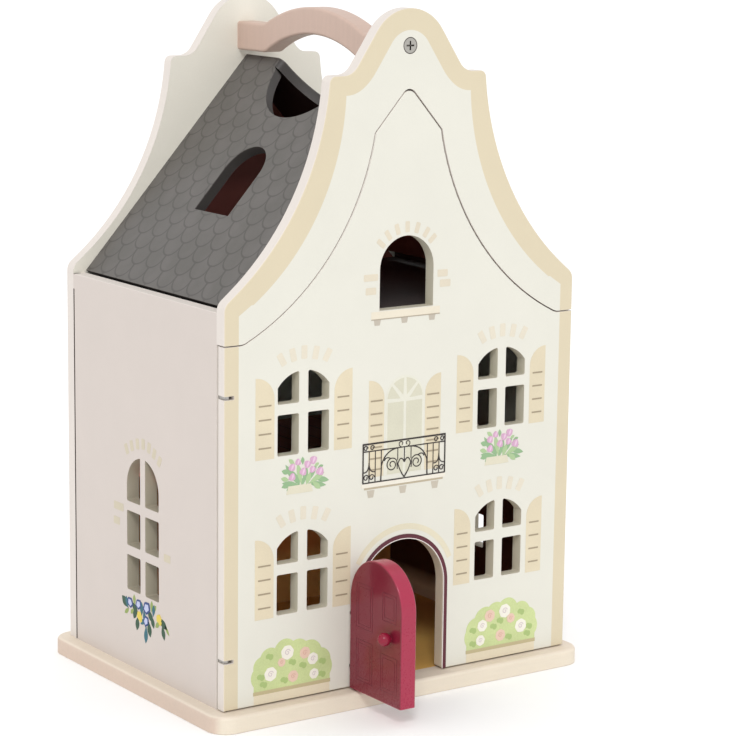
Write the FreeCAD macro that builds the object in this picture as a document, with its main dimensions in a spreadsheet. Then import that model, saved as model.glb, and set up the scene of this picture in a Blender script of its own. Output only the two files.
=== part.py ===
import FreeCAD, Part
import math
import os

import Sketcher
from FreeCAD import Placement, Rotation, Vector

# Toy townhouse with a bell gable, millimetres.
# The origin is the centre of the base plate's underside. +Z is up and the front faces -Y.
# At rest the facade is shut and the entrance door stands open at a right angle.

SIZES = [
    ("house_width", 270, "outside of one side wall to outside of the other"),
    ("house_depth", 200, "facade front to back panel rear"),
    ("board", 9, "walls and gables"),
    ("base_thickness", 11, "base plate"),
    ("base_overhang", 10, "base plate beyond the walls, all round"),
    ("base_corner", 14, "corner radius of the base plate in plan"),
    ("edge_round", 0.8, "eased edges of the painted boards"),
    ("base_round", 2.5, "top edge of the base plate"),
    ("wall_height", 251, "side walls above the base plate"),
    ("rear_gap_width", 1.5, "shadow groove between side wall and back panel"),
    ("rear_gap_depth", 2, "depth of that groove into the wall"),
    ("rear_gap_height", 241, "top of that groove above the base plate"),
    ("gable_height", 432.3, "crown of both gables above the base plate"),
    ("shoulder_height", 256, "outer corner of the gable shoulder"),
    ("shoulder_run", 9, "width of the shoulder's sloping top"),
    ("shoulder_rise", 7.3, "height gained over that width"),
    ("shoulder_round", 8, "rounding of the shoulder corner"),
    ("flank_radius", 181, "hollow sweep from shoulder to step"),
    ("step_half_width", 59.6, "gable half width at the step"),
    ("step_height", 392, "level of the step"),
    ("step_round", 4.5, "rounding of the step's outer corner"),
    ("ledge_round", 12, "hollow where the step meets the crown's flank"),
    ("crown_radius", 30, "top of the crown"),
    ("crown_slope", 56.2, "flank of the crown, degrees from level"),
    ("seam_height", 230.8, "top of the facade at its ends"),
    ("seam_gap", 0.8, "clearance of the facade inside the fixed gable"),
    ("seam_foot", 121.5, "half width where the seam starts to rise"),
    ("seam_foot_round", 10, "hollow at the foot of the seam"),
    ("seam_radius", 171.5, "hollow sweep of the seam"),
    ("seam_kink", 25.2, "half width where the sweep ends"),
    ("seam_kink_height", 355.8, "level of that point"),
    ("seam_slope", 48.4, "roof-like tip above it, degrees from level"),
    ("seam_peak_round", 6, "rounded tip of the facade"),
    ("panel_gap", 0.6, "facade to side wall, also what it is thinner by"),
    ("panel_lift", 0.8, "facade above the base plate"),
    ("pane_width", 15.8, "facade window pane"),
    ("pane_height", 26, "facade window lower pane"),
    ("bar_width", 6.7, "facade window bars"),
    ("pane_round", 1.2, "corners of all window panes"),
    ("window_height", 53, "facade window, sill to crown"),
    ("window_rise", 9.9, "rise of the facade window's arched head"),
    ("window_place", 77.3, "facade window centre from the middle"),
    ("lower_sill", 56.9, "lower facade windows above the base plate"),
    ("upper_sill", 158.8, "upper facade windows above the base plate"),
    ("attic_sill", 243.8, "attic window above the base plate"),
    ("attic_half_width", 20.8, "attic window"),
    ("attic_spring", 269.5, "where the attic window's arch starts"),
    ("side_pane_width", 17.4, "side window pane"),
    ("side_pane_height", 23.5, "side window lower panes"),
    ("side_bar_width", 6.2, "side window bars"),
    ("side_window_height", 90.6, "side window, sill to crown"),
    ("side_window_flatness", 0.01, "side window's head below a full half circle"),
    ("side_sill", 51.8, "side window above the base plate"),
    ("doorway_half_width", 33, "entrance"),
    ("doorway_spring", 60.2, "where the entrance arch starts"),
    ("doorway_round", 1.5, "rounded front edge of the entrance"),
    ("door_width", 57, "entrance door"),
    ("door_height", 89, "entrance door, foot to crown"),
    ("door_thickness", 11.5, "entrance door"),
    ("door_lift", 1.5, "entrance door above the base plate"),
    ("door_round", 1.2, "eased edges of the entrance door"),
    ("door_pin_inset", 4.2, "door pin from the jamb"),
    ("door_pin_depth", 4.5, "door pin behind the facade's front"),
    ("door_swing_gap", 5.8, "door pin to the door's hinged edge"),
    ("door_leaf_low", 15, "lower door leaf above the base plate"),
    ("door_leaf_high", 50, "upper door leaf above the base plate"),
    ("knob_radius", 4.3, "door knob"),
    ("knob_inset", 12.5, "knob from the door's free edge"),
    ("knob_height", 45, "knob above the base plate"),
    ("knob_tenon_radius", 2, "knob's tenon"),
    ("knob_tenon_depth", 7, "knob's tenon inside the door"),
    ("facade_pin_inset", 3.5, "facade pin from the facade's end"),
    ("facade_pin_depth", 4, "facade pin behind the facade's front"),
    ("facade_leaf_inset", 31.5, "facade leaves from the ends of the facade's edge"),
    ("facade_end_round", 2, "rear rounding of the hinged end"),
    ("kerf_depth", 7, "saw cuts for the facade leaves"),
    ("kerf_height", 2.4, "saw cuts for all leaves"),
    ("kerf_play", 1.3, "saw cuts for the door leaves beyond the leaves' eyes"),
    ("leaf_thickness", 2, "hinge leaves"),
    ("leaf_radius", 2.3, "rounded eye of a leaf, half its width"),
    ("leaf_grip", 13, "leaf inside the piece that holds it"),
    ("pin_radius", 1, "hinge pins"),
    ("pin_play", 0.05, "leaf eye around its pin"),
    ("pin_reach", 7, "pin past the leaf it carries"),
    ("roof_thickness", 7, "roof boards"),
    ("roof_apex", 391.8, "ridge above the base plate"),
    ("roof_pitch", 48, "degrees from level"),
    ("roof_length", 187.2, "ridge to eave, along the slope"),
    ("notch_radius", 46, "hand notch across the ridge"),
    ("notch_round", 6, "rounding where the notch meets the ridge"),
    ("roof_window_half_width", 20.5, "roof window"),
    ("roof_window_top", 70.7, "roof window's crown from the ridge"),
    ("roof_window_foot", 125.2, "roof window's sill from the ridge"),
    ("floor_board", 8, "inner floors"),
    ("floor_setback", 1, "floors behind the walls' front edges"),
    ("first_floor_level", 134, "top of the first floor above the base plate"),
    ("attic_floor_level", 243, "top of the attic floor above the base plate"),
    ("handle_width", 15, "carrying handle"),
    ("handle_low", 395.1, "underside of the handle's feet"),
    ("handle_high", 414.3, "top of the handle's feet"),
    ("handle_bow_low", 410.3, "underside of the bow at its middle"),
    ("handle_bow_high", 428, "top of the bow at its middle"),
    ("handle_low_radius", 116, "underside of the bow"),
    ("handle_high_radius", 130, "top of the bow"),
    ("handle_hollow", 12, "hollow between foot and bow"),
    ("handle_round", 2, "long edges of the handle"),
    ("handle_screw_level", 409.2, "handle screws above the base plate"),
    ("handle_screw_head", 5.3, "head radius"),
    ("handle_screw_shank", 2, "shank radius"),
    ("handle_screw_length", 34, "overall length"),
    ("screw_head_radius", 3, "base screws"),
    ("screw_head_height", 2, "base screws"),
    ("screw_shank_radius", 1.5, "base screws"),
    ("screw_length", 30, "base screws, without the head"),
    ("screw_sink", 2.6, "counterbore in the base plate"),
    ("screw_head_play", 0.3, "counterbore around the head"),
    ("recess_width", 1.1, "arms of the cross recess"),
    ("recess_share", 0.55, "cross recess span as a share of the head"),
    ("recess_depth", 1.2, "cross recess"),
    ("fixing_spread", 60, "screws and dowels either side of the middle"),
    ("dowel_radius", 2, "dowels"),
    ("dowel_face_depth", 6, "dowel in the face of a board"),
    ("dowel_edge_depth", 12, "dowel in the edge of a board"),
    ("roof_dowel_radius", 1.5, "roof dowels"),
    ("roof_dowel_high", 60, "upper roof dowels from the ridge"),
    ("roof_dowel_low", 160, "lower roof dowels from the ridge"),
    ("wall_dowel_low", 50, "lowest back dowels above the base plate"),
    ("wall_dowel_step", 75, "spacing of the back dowels"),
    ("magnet_radius", 3, "catch magnets and plates"),
    ("magnet_depth", 4, "catch magnets"),
    ("plate_depth", 1.5, "catch plates"),
    ("catch_low", 60, "lower catch above the base plate"),
    ("catch_high", 190, "upper catch above the base plate"),
]

doc = FreeCAD.newDocument("Townhouse")
sheet = doc.addObject("Spreadsheet::Sheet", "Sizes")
for row, (alias, value, note) in enumerate(SIZES, start=1):
    sheet.set("A%d" % row, alias)
    sheet.set("B%d" % row, str(value))
    sheet.setAlias("B%d" % row, alias)
    sheet.set("C%d" % row, note)
doc.recompute()


class Size:
    """A length with its number and the formula that binds it to the sheet."""

    def __init__(self, value, formula=None):
        self.value = float(value)
        self.formula = formula if formula else "(%r)" % float(value)

    def combine(self, other, sign, value):
        return Size(value, "(%s %s %s)" % (self.formula, sign, other.formula))

    def __add__(self, other):
        other = as_size(other)
        return self.combine(other, "+", self.value + other.value)

    def __sub__(self, other):
        other = as_size(other)
        return self.combine(other, "-", self.value - other.value)

    def __mul__(self, other):
        other = as_size(other)
        return self.combine(other, "*", self.value * other.value)

    def __truediv__(self, other):
        other = as_size(other)
        return self.combine(other, "/", self.value / other.value)

    def __neg__(self):
        return Size(-self.value, "(0 - %s)" % self.formula)


def as_size(number):
    return number if isinstance(number, Size) else Size(number)


def size(alias):
    return Size(getattr(sheet, alias), "Sizes." + alias)


def root(term):
    return Size(math.sqrt(term.value), "sqrt(%s)" % term.formula)


def sine(term):
    return Size(math.sin(math.radians(term.value)), "sin(%s)" % term.formula)


def cosine(term):
    return Size(math.cos(math.radians(term.value)), "cos(%s)" % term.formula)


def bind(item, name, term):
    """Sets a property and ties it to the sheet."""
    item.setExpression(name, term.formula)


ZERO = Size(0)
GROUND = size("base_thickness")
SIDE = size("house_width") / 2
BACK = size("house_depth") / 2
FRONT = -BACK
BOARD = size("board")
PANEL_THICKNESS = BOARD - size("panel_gap")
CLEAR_DEPTH = size("house_depth") - BOARD * 2
INNER_SIDE = SIDE - BOARD
INNER_FRONT = FRONT + BOARD
INNER_BACK = BACK - BOARD
PITCH = size("roof_pitch")
RIDGE = GROUND + size("roof_apex")

# ---------------------------------------------------------------- sketches and features

NEAR = 0.01
# Moving the seam outward lifts its kink by about a third of the move.
KINK_SHARE = 3
AXES = {"XY": ("XY_Plane", 1), "XZ": ("XZ_Plane", -1), "YZ": ("YZ_Plane", 1)}
nodes = []


def new_body(label):
    body = doc.addObject("PartDesign::Body", label)
    body.Label = label
    nodes.append(body)
    return body


def new_sketch(body, plane, level):
    """A sketch parallel to one of the body's own origin planes, at a level along its normal."""
    role, sign = AXES[plane]
    sketch = body.newObject("Sketcher::SketchObject", body.Name + "_outline")
    support = [item for item in body.Origin.OriginFeatures if item.Role == role][0]
    sketch.AttachmentSupport = [(support, "")]
    sketch.MapMode = "FlatFace"
    bind(sketch, "AttachmentOffset.Base.z", level if sign > 0 else -level)
    return sketch


def slope_sketch(body, hand):
    """A sketch in the outer plane of a roof slope, x running away from the ridge for hand +1."""
    sketch = new_sketch(body, "XY", RIDGE)
    tilt = Rotation(Vector(0, hand, 0), PITCH.value)
    sketch.AttachmentOffset = Placement(Vector(0, 0, RIDGE.value), tilt)
    bind(sketch, "AttachmentOffset.Rotation.Angle", PITCH)
    return sketch


def tie(sketch, kind, edge, term, *position):
    index = sketch.addConstraint(Sketcher.Constraint(kind, edge, *position, term.value))
    name = "_".join([kind, str(edge)] + [str(number) for number in position])
    sketch.renameConstraint(index, name)
    bind(sketch, "Constraints." + name, term)


def tie_arc(sketch, edge, start, end, radius):
    """Ties an arc's radius, or the centre of a half-round, whose ends already fix its radius."""
    across = abs(start[0].value - end[0].value)
    along = abs(start[1].value - end[1].value)
    if math.hypot(across, along) < 2 * radius.value - NEAR:
        tie(sketch, "Radius", edge, radius)
    elif along < NEAR:
        tie(sketch, "DistanceY", edge, start[1], 3)
    else:
        tie(sketch, "DistanceX", edge, start[0], 3)


def arc_between(start, end, radius, turn):
    """An arc whose centre lies left of the line from start to end when turn is +1."""
    first = Vector(start[0].value, start[1].value, 0)
    last = Vector(end[0].value, end[1].value, 0)
    chord = last - first
    height = math.sqrt(max(radius.value ** 2 - (chord.Length / 2) ** 2, 0))
    normal = Vector(-chord.y, chord.x, 0).normalize()
    centre = (first + last) * 0.5 + normal * height * turn
    angles = [math.atan2(point.y - centre.y, point.x - centre.x) for point in (first, last)]
    if turn < 0:
        angles.reverse()
    circle = Part.Circle(centre, Vector(0, 0, 1), radius.value)
    return Part.ArcOfCircle(circle, angles[0], angles[1])


def add_outline(sketch, corners):
    """A closed outline. Each corner is (x, y) or (x, y, radius, turn), for an arc to the next one."""
    count = len(corners)
    starts = []
    ends = []
    for number, corner in enumerate(corners):
        following = corners[(number + 1) % count]
        if len(corner) == 2:
            line = Part.LineSegment(
                Vector(corner[0].value, corner[1].value, 0),
                Vector(following[0].value, following[1].value, 0),
            )
            edge = sketch.addGeometry(line)
            starts.append((edge, 1))
            ends.append((edge, 2))
        else:
            edge = sketch.addGeometry(arc_between(corner, following, corner[2], corner[3]))
            forward = corner[3] > 0
            starts.append((edge, 1 if forward else 2))
            ends.append((edge, 2 if forward else 1))
    for number, corner in enumerate(corners):
        next_start = starts[(number + 1) % count]
        sketch.addConstraint(Sketcher.Constraint("Coincident", *ends[number], *next_start))
        edge, position = starts[number]
        tie(sketch, "DistanceX", edge, corner[0], position)
        tie(sketch, "DistanceY", edge, corner[1], position)
        if len(corner) > 2:
            tie_arc(sketch, edge, corner, corners[(number + 1) % count], corner[2])


def add_rectangle(sketch, left, right, low, high):
    add_outline(sketch, [(left, low), (right, low), (right, high), (left, high)])


def add_circle(sketch, point, radius):
    centre = Vector(point[0].value, point[1].value, 0)
    edge = sketch.addGeometry(Part.Circle(centre, Vector(0, 0, 1), radius.value))
    tie(sketch, "DistanceX", edge, point[0], 3)
    tie(sketch, "DistanceY", edge, point[1], 3)
    tie(sketch, "Radius", edge, radius)


def add_arch(sketch, middle, half_width, foot, spring):
    """A straight-sided opening under a half-round head."""
    left = middle - half_width
    right = middle + half_width
    add_outline(sketch, [(left, foot), (right, foot), (right, spring, half_width, 1), (left, spring)])


def pad(body, sketch, thickness):
    """A board as thick on one side of the sketch as on the other."""
    feature = body.newObject("PartDesign::Pad", body.Name + "_board")
    feature.Profile = sketch
    feature.SideType = "Symmetric"
    bind(feature, "Length", thickness)
    body.Tip = feature
    return feature


def cut(body, sketch, depth):
    """A cut as deep on one side of the sketch as on the other."""
    feature = body.newObject("PartDesign::Pocket", body.Name + "_cut")
    feature.Profile = sketch
    feature.SideType = "Symmetric"
    bind(feature, "Length", depth)
    body.Tip = feature
    return feature


def drill(body, plane, level, depth, points, radius):
    """Round bores of one size, centred on the given level."""
    sketch = new_sketch(body, plane, level)
    for point in points:
        add_circle(sketch, point, radius)
    return cut(body, sketch, depth)


def round_edges(body, radius, wanted):
    """Rounds the edges of the body's last feature that the test accepts."""
    doc.recompute()
    base = body.Tip
    names = ["Edge%d" % number for number, edge in enumerate(base.Shape.Edges, 1) if wanted(edge)]
    if not names:
        raise ValueError("no edge to round on " + body.Label)
    feature = body.newObject("PartDesign::Fillet", body.Name + "_round")
    feature.Base = (base, names)
    bind(feature, "Radius", radius)
    body.Tip = feature
    doc.recompute()
    return feature


def at_points(axis, points):
    """Accepts straight edges along an axis that pass through one of the points."""
    others = [index for index in range(3) if index != axis]

    def wanted(edge):
        ends = [vertex.Point for vertex in edge.Vertexes]
        if len(ends) != 2 or any(abs(ends[0][index] - ends[1][index]) > NEAR for index in others):
            return False
        return any(
            all(abs(ends[0][index] - term.value) < NEAR for index, term in zip(others, point))
            for point in points
        )

    return wanted


def in_plane(axis, level):
    """Accepts edges that lie in a plane across an axis."""

    def wanted(edge):
        box = edge.BoundBox
        low = (box.XMin, box.YMin, box.ZMin)[axis]
        high = (box.XMax, box.YMax, box.ZMax)[axis]
        return abs(low - level.value) < NEAR and abs(high - level.value) < NEAR

    return wanted


def group(label, members):
    """Identical small pieces that share one node."""
    compound = doc.addObject("Part::Compound", label)
    compound.Label = label
    compound.Links = members
    nodes.append(compound)
    return compound


def rod(name, radius, length, start, direction):
    """A cylinder from a start point along a direction."""
    item = doc.addObject("Part::Cylinder", name)
    item.Placement = Placement(Vector(0, 0, 0), Rotation(Vector(0, 0, 1), direction))
    bind(item, "Radius", radius)
    bind(item, "Height", length)
    for letter, term in zip("xyz", start):
        bind(item, "Placement.Base." + letter, term)
    return item


def block(name, sizes, corner):
    """A box from its lowest corner."""
    item = doc.addObject("Part::Box", name)
    for side, term in zip(("Length", "Width", "Height"), sizes):
        bind(item, side, term)
    for letter, term in zip("xyz", corner):
        bind(item, "Placement.Base." + letter, term)
    return item


def fuse(name, members):
    item = doc.addObject("Part::MultiFuse", name)
    item.Shapes = members
    item.Refine = True
    return item


def cut_away(name, base, tool):
    item = doc.addObject("Part::Cut", name)
    item.Base = base
    item.Tool = tool
    return item


# ---------------------------------------------------------------- base plate

SPREAD = (-size("fixing_spread"), size("fixing_spread"))
WALL_SCREWS = [(x, y) for x in (-(SIDE - BOARD / 2), SIDE - BOARD / 2) for y in SPREAD]
BACK_SCREWS = [(x, BACK - BOARD / 2) for x in SPREAD]
SCREW_POINTS = WALL_SCREWS + BACK_SCREWS


def make_base_plate():
    body = new_body("base_plate")
    reach_x = SIDE + size("base_overhang")
    reach_y = BACK + size("base_overhang")
    sketch = new_sketch(body, "XY", GROUND / 2)
    add_rectangle(sketch, -reach_x, reach_x, -reach_y, reach_y)
    pad(body, sketch, GROUND)
    corners = [(x, y) for x in (-reach_x, reach_x) for y in (-reach_y, reach_y)]
    round_edges(body, size("base_corner"), at_points(2, corners))
    round_edges(body, size("base_round"), in_plane(2, GROUND))
    drill(body, "XY", GROUND / 2, GROUND * 2, SCREW_POINTS, size("screw_shank_radius"))
    sink_radius = size("screw_head_radius") + size("screw_head_play")
    drill(body, "XY", ZERO, size("screw_sink") * 2, SCREW_POINTS, sink_radius)


# ---------------------------------------------------------------- gable outlines

def gable_top():
    """Outer outline from the right shoulder over the crown to the left shoulder."""
    slope = size("crown_slope")
    step = GROUND + size("step_height")
    radius = size("crown_radius")
    crown_x = radius * sine(slope)
    crown_z = GROUND + size("gable_height") - radius + radius * cosine(slope)
    ledge_x = crown_x + (crown_z - step) * cosine(slope) / sine(slope)
    sweep = size("flank_radius")
    shoulder = GROUND + size("shoulder_height")
    slope_x = SIDE - size("shoulder_run")
    slope_z = shoulder + size("shoulder_rise")
    half = size("step_half_width")
    return [
        (SIDE, shoulder), (slope_x, slope_z, sweep, -1), (half, step), (ledge_x, step),
        (crown_x, crown_z, radius, 1), (-crown_x, crown_z), (-ledge_x, step),
        (-half, step, sweep, -1), (-slope_x, slope_z), (-SIDE, shoulder),
    ]


def round_gable(body):
    """Rounds the shoulder, step and ledge corners of a gable."""
    top = gable_top()
    for first, last, alias in ((0, 9, "shoulder_round"), (2, 7, "step_round"), (3, 6, "ledge_round")):
        points = [top[first][:2], top[last][:2]]
        round_edges(body, size(alias), at_points(1, points))


def seam(gap):
    """The facade's top from its right end to its left end, or that line moved outward by a gap."""
    slope = size("seam_slope")
    foot = (size("seam_foot"), GROUND + size("seam_height") + gap)
    kink = (size("seam_kink") + gap, GROUND + size("seam_kink_height") + gap / KINK_SHARE)
    tip = GROUND + size("seam_kink_height") + size("seam_kink") * sine(slope) / cosine(slope)
    peak = tip + gap / cosine(slope)
    radius = size("seam_radius") - gap
    return [
        (SIDE, foot[1]), (foot[0], foot[1], radius, -1), kink, (ZERO, peak),
        (-kink[0], kink[1], radius, -1), (-foot[0], foot[1]), (-SIDE, foot[1]),
    ]


def round_seam(body, line):
    round_edges(body, size("seam_peak_round"), at_points(1, [line[3][:2]]))
    round_edges(body, size("seam_foot_round"), at_points(1, [line[1][:2], line[5][:2]]))


WALL_DOWEL_X = SIDE - BOARD / 2
GABLE_DOWEL_Z = GROUND + (size("seam_height") + size("wall_height")) / 2
BACK_DOWELS = [
    (x, GROUND + size("wall_dowel_low") + size("wall_dowel_step") * number)
    for x in (-WALL_DOWEL_X, WALL_DOWEL_X)
    for number in range(3)
]
FRONT_DOWELS = [(x, GABLE_DOWEL_Z) for x in (-WALL_DOWEL_X, WALL_DOWEL_X)]


def roof_point(hand, along, depth):
    """A point of a slope, measured from the ridge down the slope and into the board."""
    x = (along * cosine(PITCH) - depth * sine(PITCH)) * hand
    z = RIDGE - along * sine(PITCH) - depth * cosine(PITCH)
    return (x, z)


ROOF_DOWELS = [
    roof_point(hand, size(alias), size("roof_thickness") / 2)
    for hand in (-1, 1)
    for alias in ("roof_dowel_high", "roof_dowel_low")
]


def bore_gable(body, inner_face, inward, dowels):
    """Dowel bores in a gable's inner face, and the bore for the handle screw."""
    level = inner_face - size("dowel_face_depth") * (inward / 2)
    drill(body, "XZ", level, size("dowel_face_depth"), dowels, size("dowel_radius"))
    drill(body, "XZ", level, size("dowel_face_depth"), ROOF_DOWELS, size("roof_dowel_radius"))
    screw = [(ZERO, GROUND + size("handle_screw_level"))]
    drill(body, "XZ", inner_face, BOARD * 3, screw, size("handle_screw_shank"))


def sink_head(body, face):
    """The countersink for a handle screw's head."""
    shank = size("handle_screw_shank")
    doc.recompute()
    base = body.Tip
    accept = in_plane(1, face)
    names = [
        "Edge%d" % number
        for number, edge in enumerate(base.Shape.Edges, 1)
        if accept(edge) and hasattr(edge.Curve, "Radius") and abs(edge.Curve.Radius - shank.value) < NEAR
    ]
    feature = body.newObject("PartDesign::Chamfer", body.Name + "_countersink")
    feature.Base = (base, names)
    bind(feature, "Size", size("handle_screw_head") - shank)
    body.Tip = feature
    doc.recompute()


def make_front_gable():
    body = new_body("front_gable")
    line = seam(size("seam_gap"))
    foot = line[0][1]
    middle = FRONT + BOARD / 2
    sketch = new_sketch(body, "XZ", middle)
    add_outline(sketch, [(-SIDE, foot), (SIDE, foot)] + gable_top())
    pad(body, sketch, BOARD)
    round_gable(body)

    def upper_edge(edge):
        return in_plane(1, FRONT)(edge) and edge.BoundBox.ZMax > foot.value + NEAR

    round_edges(body, size("edge_round"), upper_edge)
    recess = new_sketch(body, "XZ", middle)
    below = [(x, foot - BOARD) for x in (-size("seam_foot"), size("seam_foot"))]
    add_outline(recess, below + line[1:-1])
    cut(body, recess, BOARD * 2)
    round_seam(body, line)
    bore_gable(body, INNER_FRONT, 1, FRONT_DOWELS)
    sink_head(body, FRONT)


def make_back_gable():
    body = new_body("back_gable")
    sketch = new_sketch(body, "XZ", BACK - BOARD / 2)
    add_outline(sketch, [(-SIDE, GROUND), (SIDE, GROUND)] + gable_top())
    pad(body, sketch, BOARD)
    round_gable(body)
    round_edges(body, size("edge_round"), in_plane(1, BACK))
    bore_gable(body, INNER_BACK, -1, BACK_DOWELS)
    sink_head(body, BACK)
    drill_up(body, BACK_SCREWS)


def drill_up(body, points):
    """Bores for the base screws, in the lower edge of a board."""
    depth = size("screw_length") - GROUND + size("screw_sink")
    drill(body, "XY", GROUND, depth * 2, points, size("screw_shank_radius"))


# ---------------------------------------------------------------- windows

def add_window(sketch, middle, sill, pane, bar, rows, spring_rise, top):
    """Two columns of panes between bars, the upper pair under one arched head."""
    half = pane + bar / 2
    radius = (half * half + spring_rise * spring_rise) / (spring_rise * 2)
    centre = top - radius

    def head(x):
        offset = x - middle
        return centre + root(radius * radius - offset * offset)

    low = sill
    for height in rows:
        for left in (middle - half, middle + bar / 2):
            add_rectangle(sketch, left, left + pane, low, low + height)
        low = low + height + bar
    for left in (middle - half, middle + bar / 2):
        right = left + pane
        outline = [(left, low), (right, low), (right, head(right), radius, 1), (left, head(left))]
        add_outline(sketch, outline)


def pane_corners(axis, across, middle, reach, low, high):
    """Accepts the edges along an axis, through a board, at the corners of a window's panes."""
    def wanted(edge):
        ends = [vertex.Point for vertex in edge.Vertexes]
        if len(ends) != 2 or ends[0].distanceToPoint(ends[1]) - abs(ends[0][axis] - ends[1][axis]) > NEAR:
            return False
        beside = abs(ends[0][across] - middle.value) < reach.value + NEAR
        return beside and low.value - NEAR < ends[0].z < high.value + NEAR

    return wanted


def make_front_panel():
    body = new_body("front_panel")
    middle = FRONT + PANEL_THICKNESS / 2
    line = seam(ZERO)
    foot = GROUND + size("panel_lift")
    sketch = new_sketch(body, "XZ", middle)
    add_outline(sketch, [(-SIDE, foot), (SIDE, foot)] + line)
    pad(body, sketch, PANEL_THICKNESS)
    round_seam(body, line)
    round_edges(body, size("edge_round"), in_plane(1, FRONT))

    openings = new_sketch(body, "XZ", middle)
    spring = GROUND + size("doorway_spring")
    add_arch(openings, ZERO, size("doorway_half_width"), GROUND, spring)
    add_arch(
        openings, ZERO, size("attic_half_width"),
        GROUND + size("attic_sill"), GROUND + size("attic_spring"),
    )
    for place in (-size("window_place"), size("window_place")):
        for alias in ("lower_sill", "upper_sill"):
            sill = GROUND + size(alias)
            add_window(
                openings, place, sill, size("pane_width"), size("bar_width"),
                [size("pane_height")], size("window_rise"), sill + size("window_height"),
            )
    cut(body, openings, BOARD * 2)

    reach = size("pane_width") + size("bar_width")
    low = GROUND + size("lower_sill")
    high = GROUND + size("upper_sill") + size("window_height")
    for place in (-size("window_place"), size("window_place")):
        round_edges(body, size("pane_round"), pane_corners(1, 0, place, reach, low, high))
    round_edges(body, size("doorway_round"), doorway_front_edge)
    back_face = FRONT + PANEL_THICKNESS
    round_edges(body, size("facade_end_round"), at_points(2, [(-SIDE, back_face)]))

    add_panel_kerfs(body)
    plate_level = back_face - size("plate_depth") / 2
    drill(body, "XZ", plate_level, size("plate_depth"), CATCH_POINTS, size("magnet_radius"))


def doorway_front_edge(edge):
    """Edges round the front of the entrance."""
    box = edge.BoundBox
    inside = max(abs(box.XMin), abs(box.XMax)) < size("doorway_half_width").value + NEAR
    below = box.ZMax < GROUND.value + size("doorway_spring").value + size("doorway_half_width").value + 1
    upright = box.ZMax - box.ZMin > 1
    return in_plane(1, FRONT)(edge) and inside and below and upright


FACADE_PIN_X = -SIDE + size("facade_pin_inset")
FACADE_PIN_Y = FRONT + size("facade_pin_depth")
FACADE_LEAVES = [
    GROUND + size("panel_lift") + size("facade_leaf_inset"),
    GROUND + size("seam_height") - size("facade_leaf_inset"),
]
DOOR_PIN_X = -size("doorway_half_width") - size("door_pin_inset")
DOOR_PIN_Y = FRONT + size("door_pin_depth")
DOOR_LEAVES = [GROUND + size("door_leaf_low"), GROUND + size("door_leaf_high")]
DOOR_PIN_TOP = DOOR_LEAVES[1] + size("pin_reach")
CATCH_POINTS = [(SIDE - BOARD / 2, GROUND + size(alias)) for alias in ("catch_low", "catch_high")]


def add_panel_kerfs(body):
    """Saw cuts for the leaves of both hinges, and the upright bores for their pins."""
    half = size("kerf_height") / 2
    middle = FRONT + PANEL_THICKNESS / 2
    kerfs = new_sketch(body, "XZ", middle)
    for level in FACADE_LEAVES:
        add_rectangle(kerfs, -SIDE - 1, -SIDE + size("kerf_depth"), level - half, level + half)
    door_kerf_end = DOOR_PIN_X - size("leaf_radius") - size("kerf_play")
    for level in DOOR_LEAVES:
        add_rectangle(kerfs, door_kerf_end, -size("doorway_half_width") + 1, level - half, level + half)
    cut(body, kerfs, BOARD * 2)

    reach = size("facade_leaf_inset") + size("pin_reach")
    point = [(FACADE_PIN_X, FACADE_PIN_Y)]
    low = GROUND + size("panel_lift")
    drill(body, "XY", low, reach * 2, point, size("pin_radius"))
    drill(body, "XY", GROUND + size("seam_height"), reach * 2, point, size("pin_radius"))
    door_point = [(DOOR_PIN_X, DOOR_PIN_Y)]
    drill(body, "XY", low, (DOOR_PIN_TOP - low) * 2, door_point, size("pin_radius"))


# ---------------------------------------------------------------- side walls

FLOOR_MIDDLES = {
    "first_floor": GROUND + size("first_floor_level") - size("floor_board") / 2,
    "attic_floor": GROUND + size("attic_floor_level") - size("floor_board") / 2,
}


def make_side_wall(label, hand):
    body = new_body(label)
    middle = (SIDE - BOARD / 2) * hand
    sketch = new_sketch(body, "YZ", middle)
    top = GROUND + size("wall_height")
    add_rectangle(sketch, INNER_FRONT, INNER_BACK, GROUND, top)
    pad(body, sketch, BOARD)
    round_edges(body, size("edge_round"), at_points(1, [(SIDE * hand, top)]))

    opening = new_sketch(body, "YZ", middle)
    pane_height = size("side_pane_height")
    half = size("side_pane_width") + size("side_bar_width") / 2
    sill = GROUND + size("side_sill")
    add_window(
        opening, ZERO, sill, size("side_pane_width"), size("side_bar_width"),
        [pane_height, pane_height], half - size("side_window_flatness"),
        sill + size("side_window_height"),
    )
    cut(body, opening, BOARD * 2)
    reach = size("side_pane_width") + size("side_bar_width")
    arched_row = sill + (pane_height + size("side_bar_width")) * 2
    round_edges(body, size("pane_round"), pane_corners(0, 1, ZERO, reach, sill, arched_row))

    groove = new_sketch(body, "YZ", SIDE * hand)
    groove_top = GROUND + size("rear_gap_height")
    groove_front = INNER_BACK - size("rear_gap_width")
    add_rectangle(groove, groove_front, INNER_BACK + 1, GROUND - 1, groove_top)
    cut(body, groove, size("rear_gap_depth") * 2)

    dowel = size("dowel_radius")
    edge_depth = size("dowel_edge_depth")
    back = [point for point in BACK_DOWELS if point[0].value * hand > 0]
    drill(body, "XZ", INNER_BACK, edge_depth * 2, back, dowel)
    front = [point for point in FRONT_DOWELS if point[0].value * hand > 0]
    drill(body, "XZ", INNER_FRONT, edge_depth * 2, front, dowel)
    floors = [
        (y, level)
        for level in FLOOR_MIDDLES.values()
        for y in SPREAD
    ]
    face_depth = size("dowel_face_depth")
    drill(body, "YZ", (INNER_SIDE + face_depth / 2) * hand, face_depth, floors, dowel)
    drill_up(body, [point for point in WALL_SCREWS if point[0].value * hand > 0])
    return body


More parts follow.
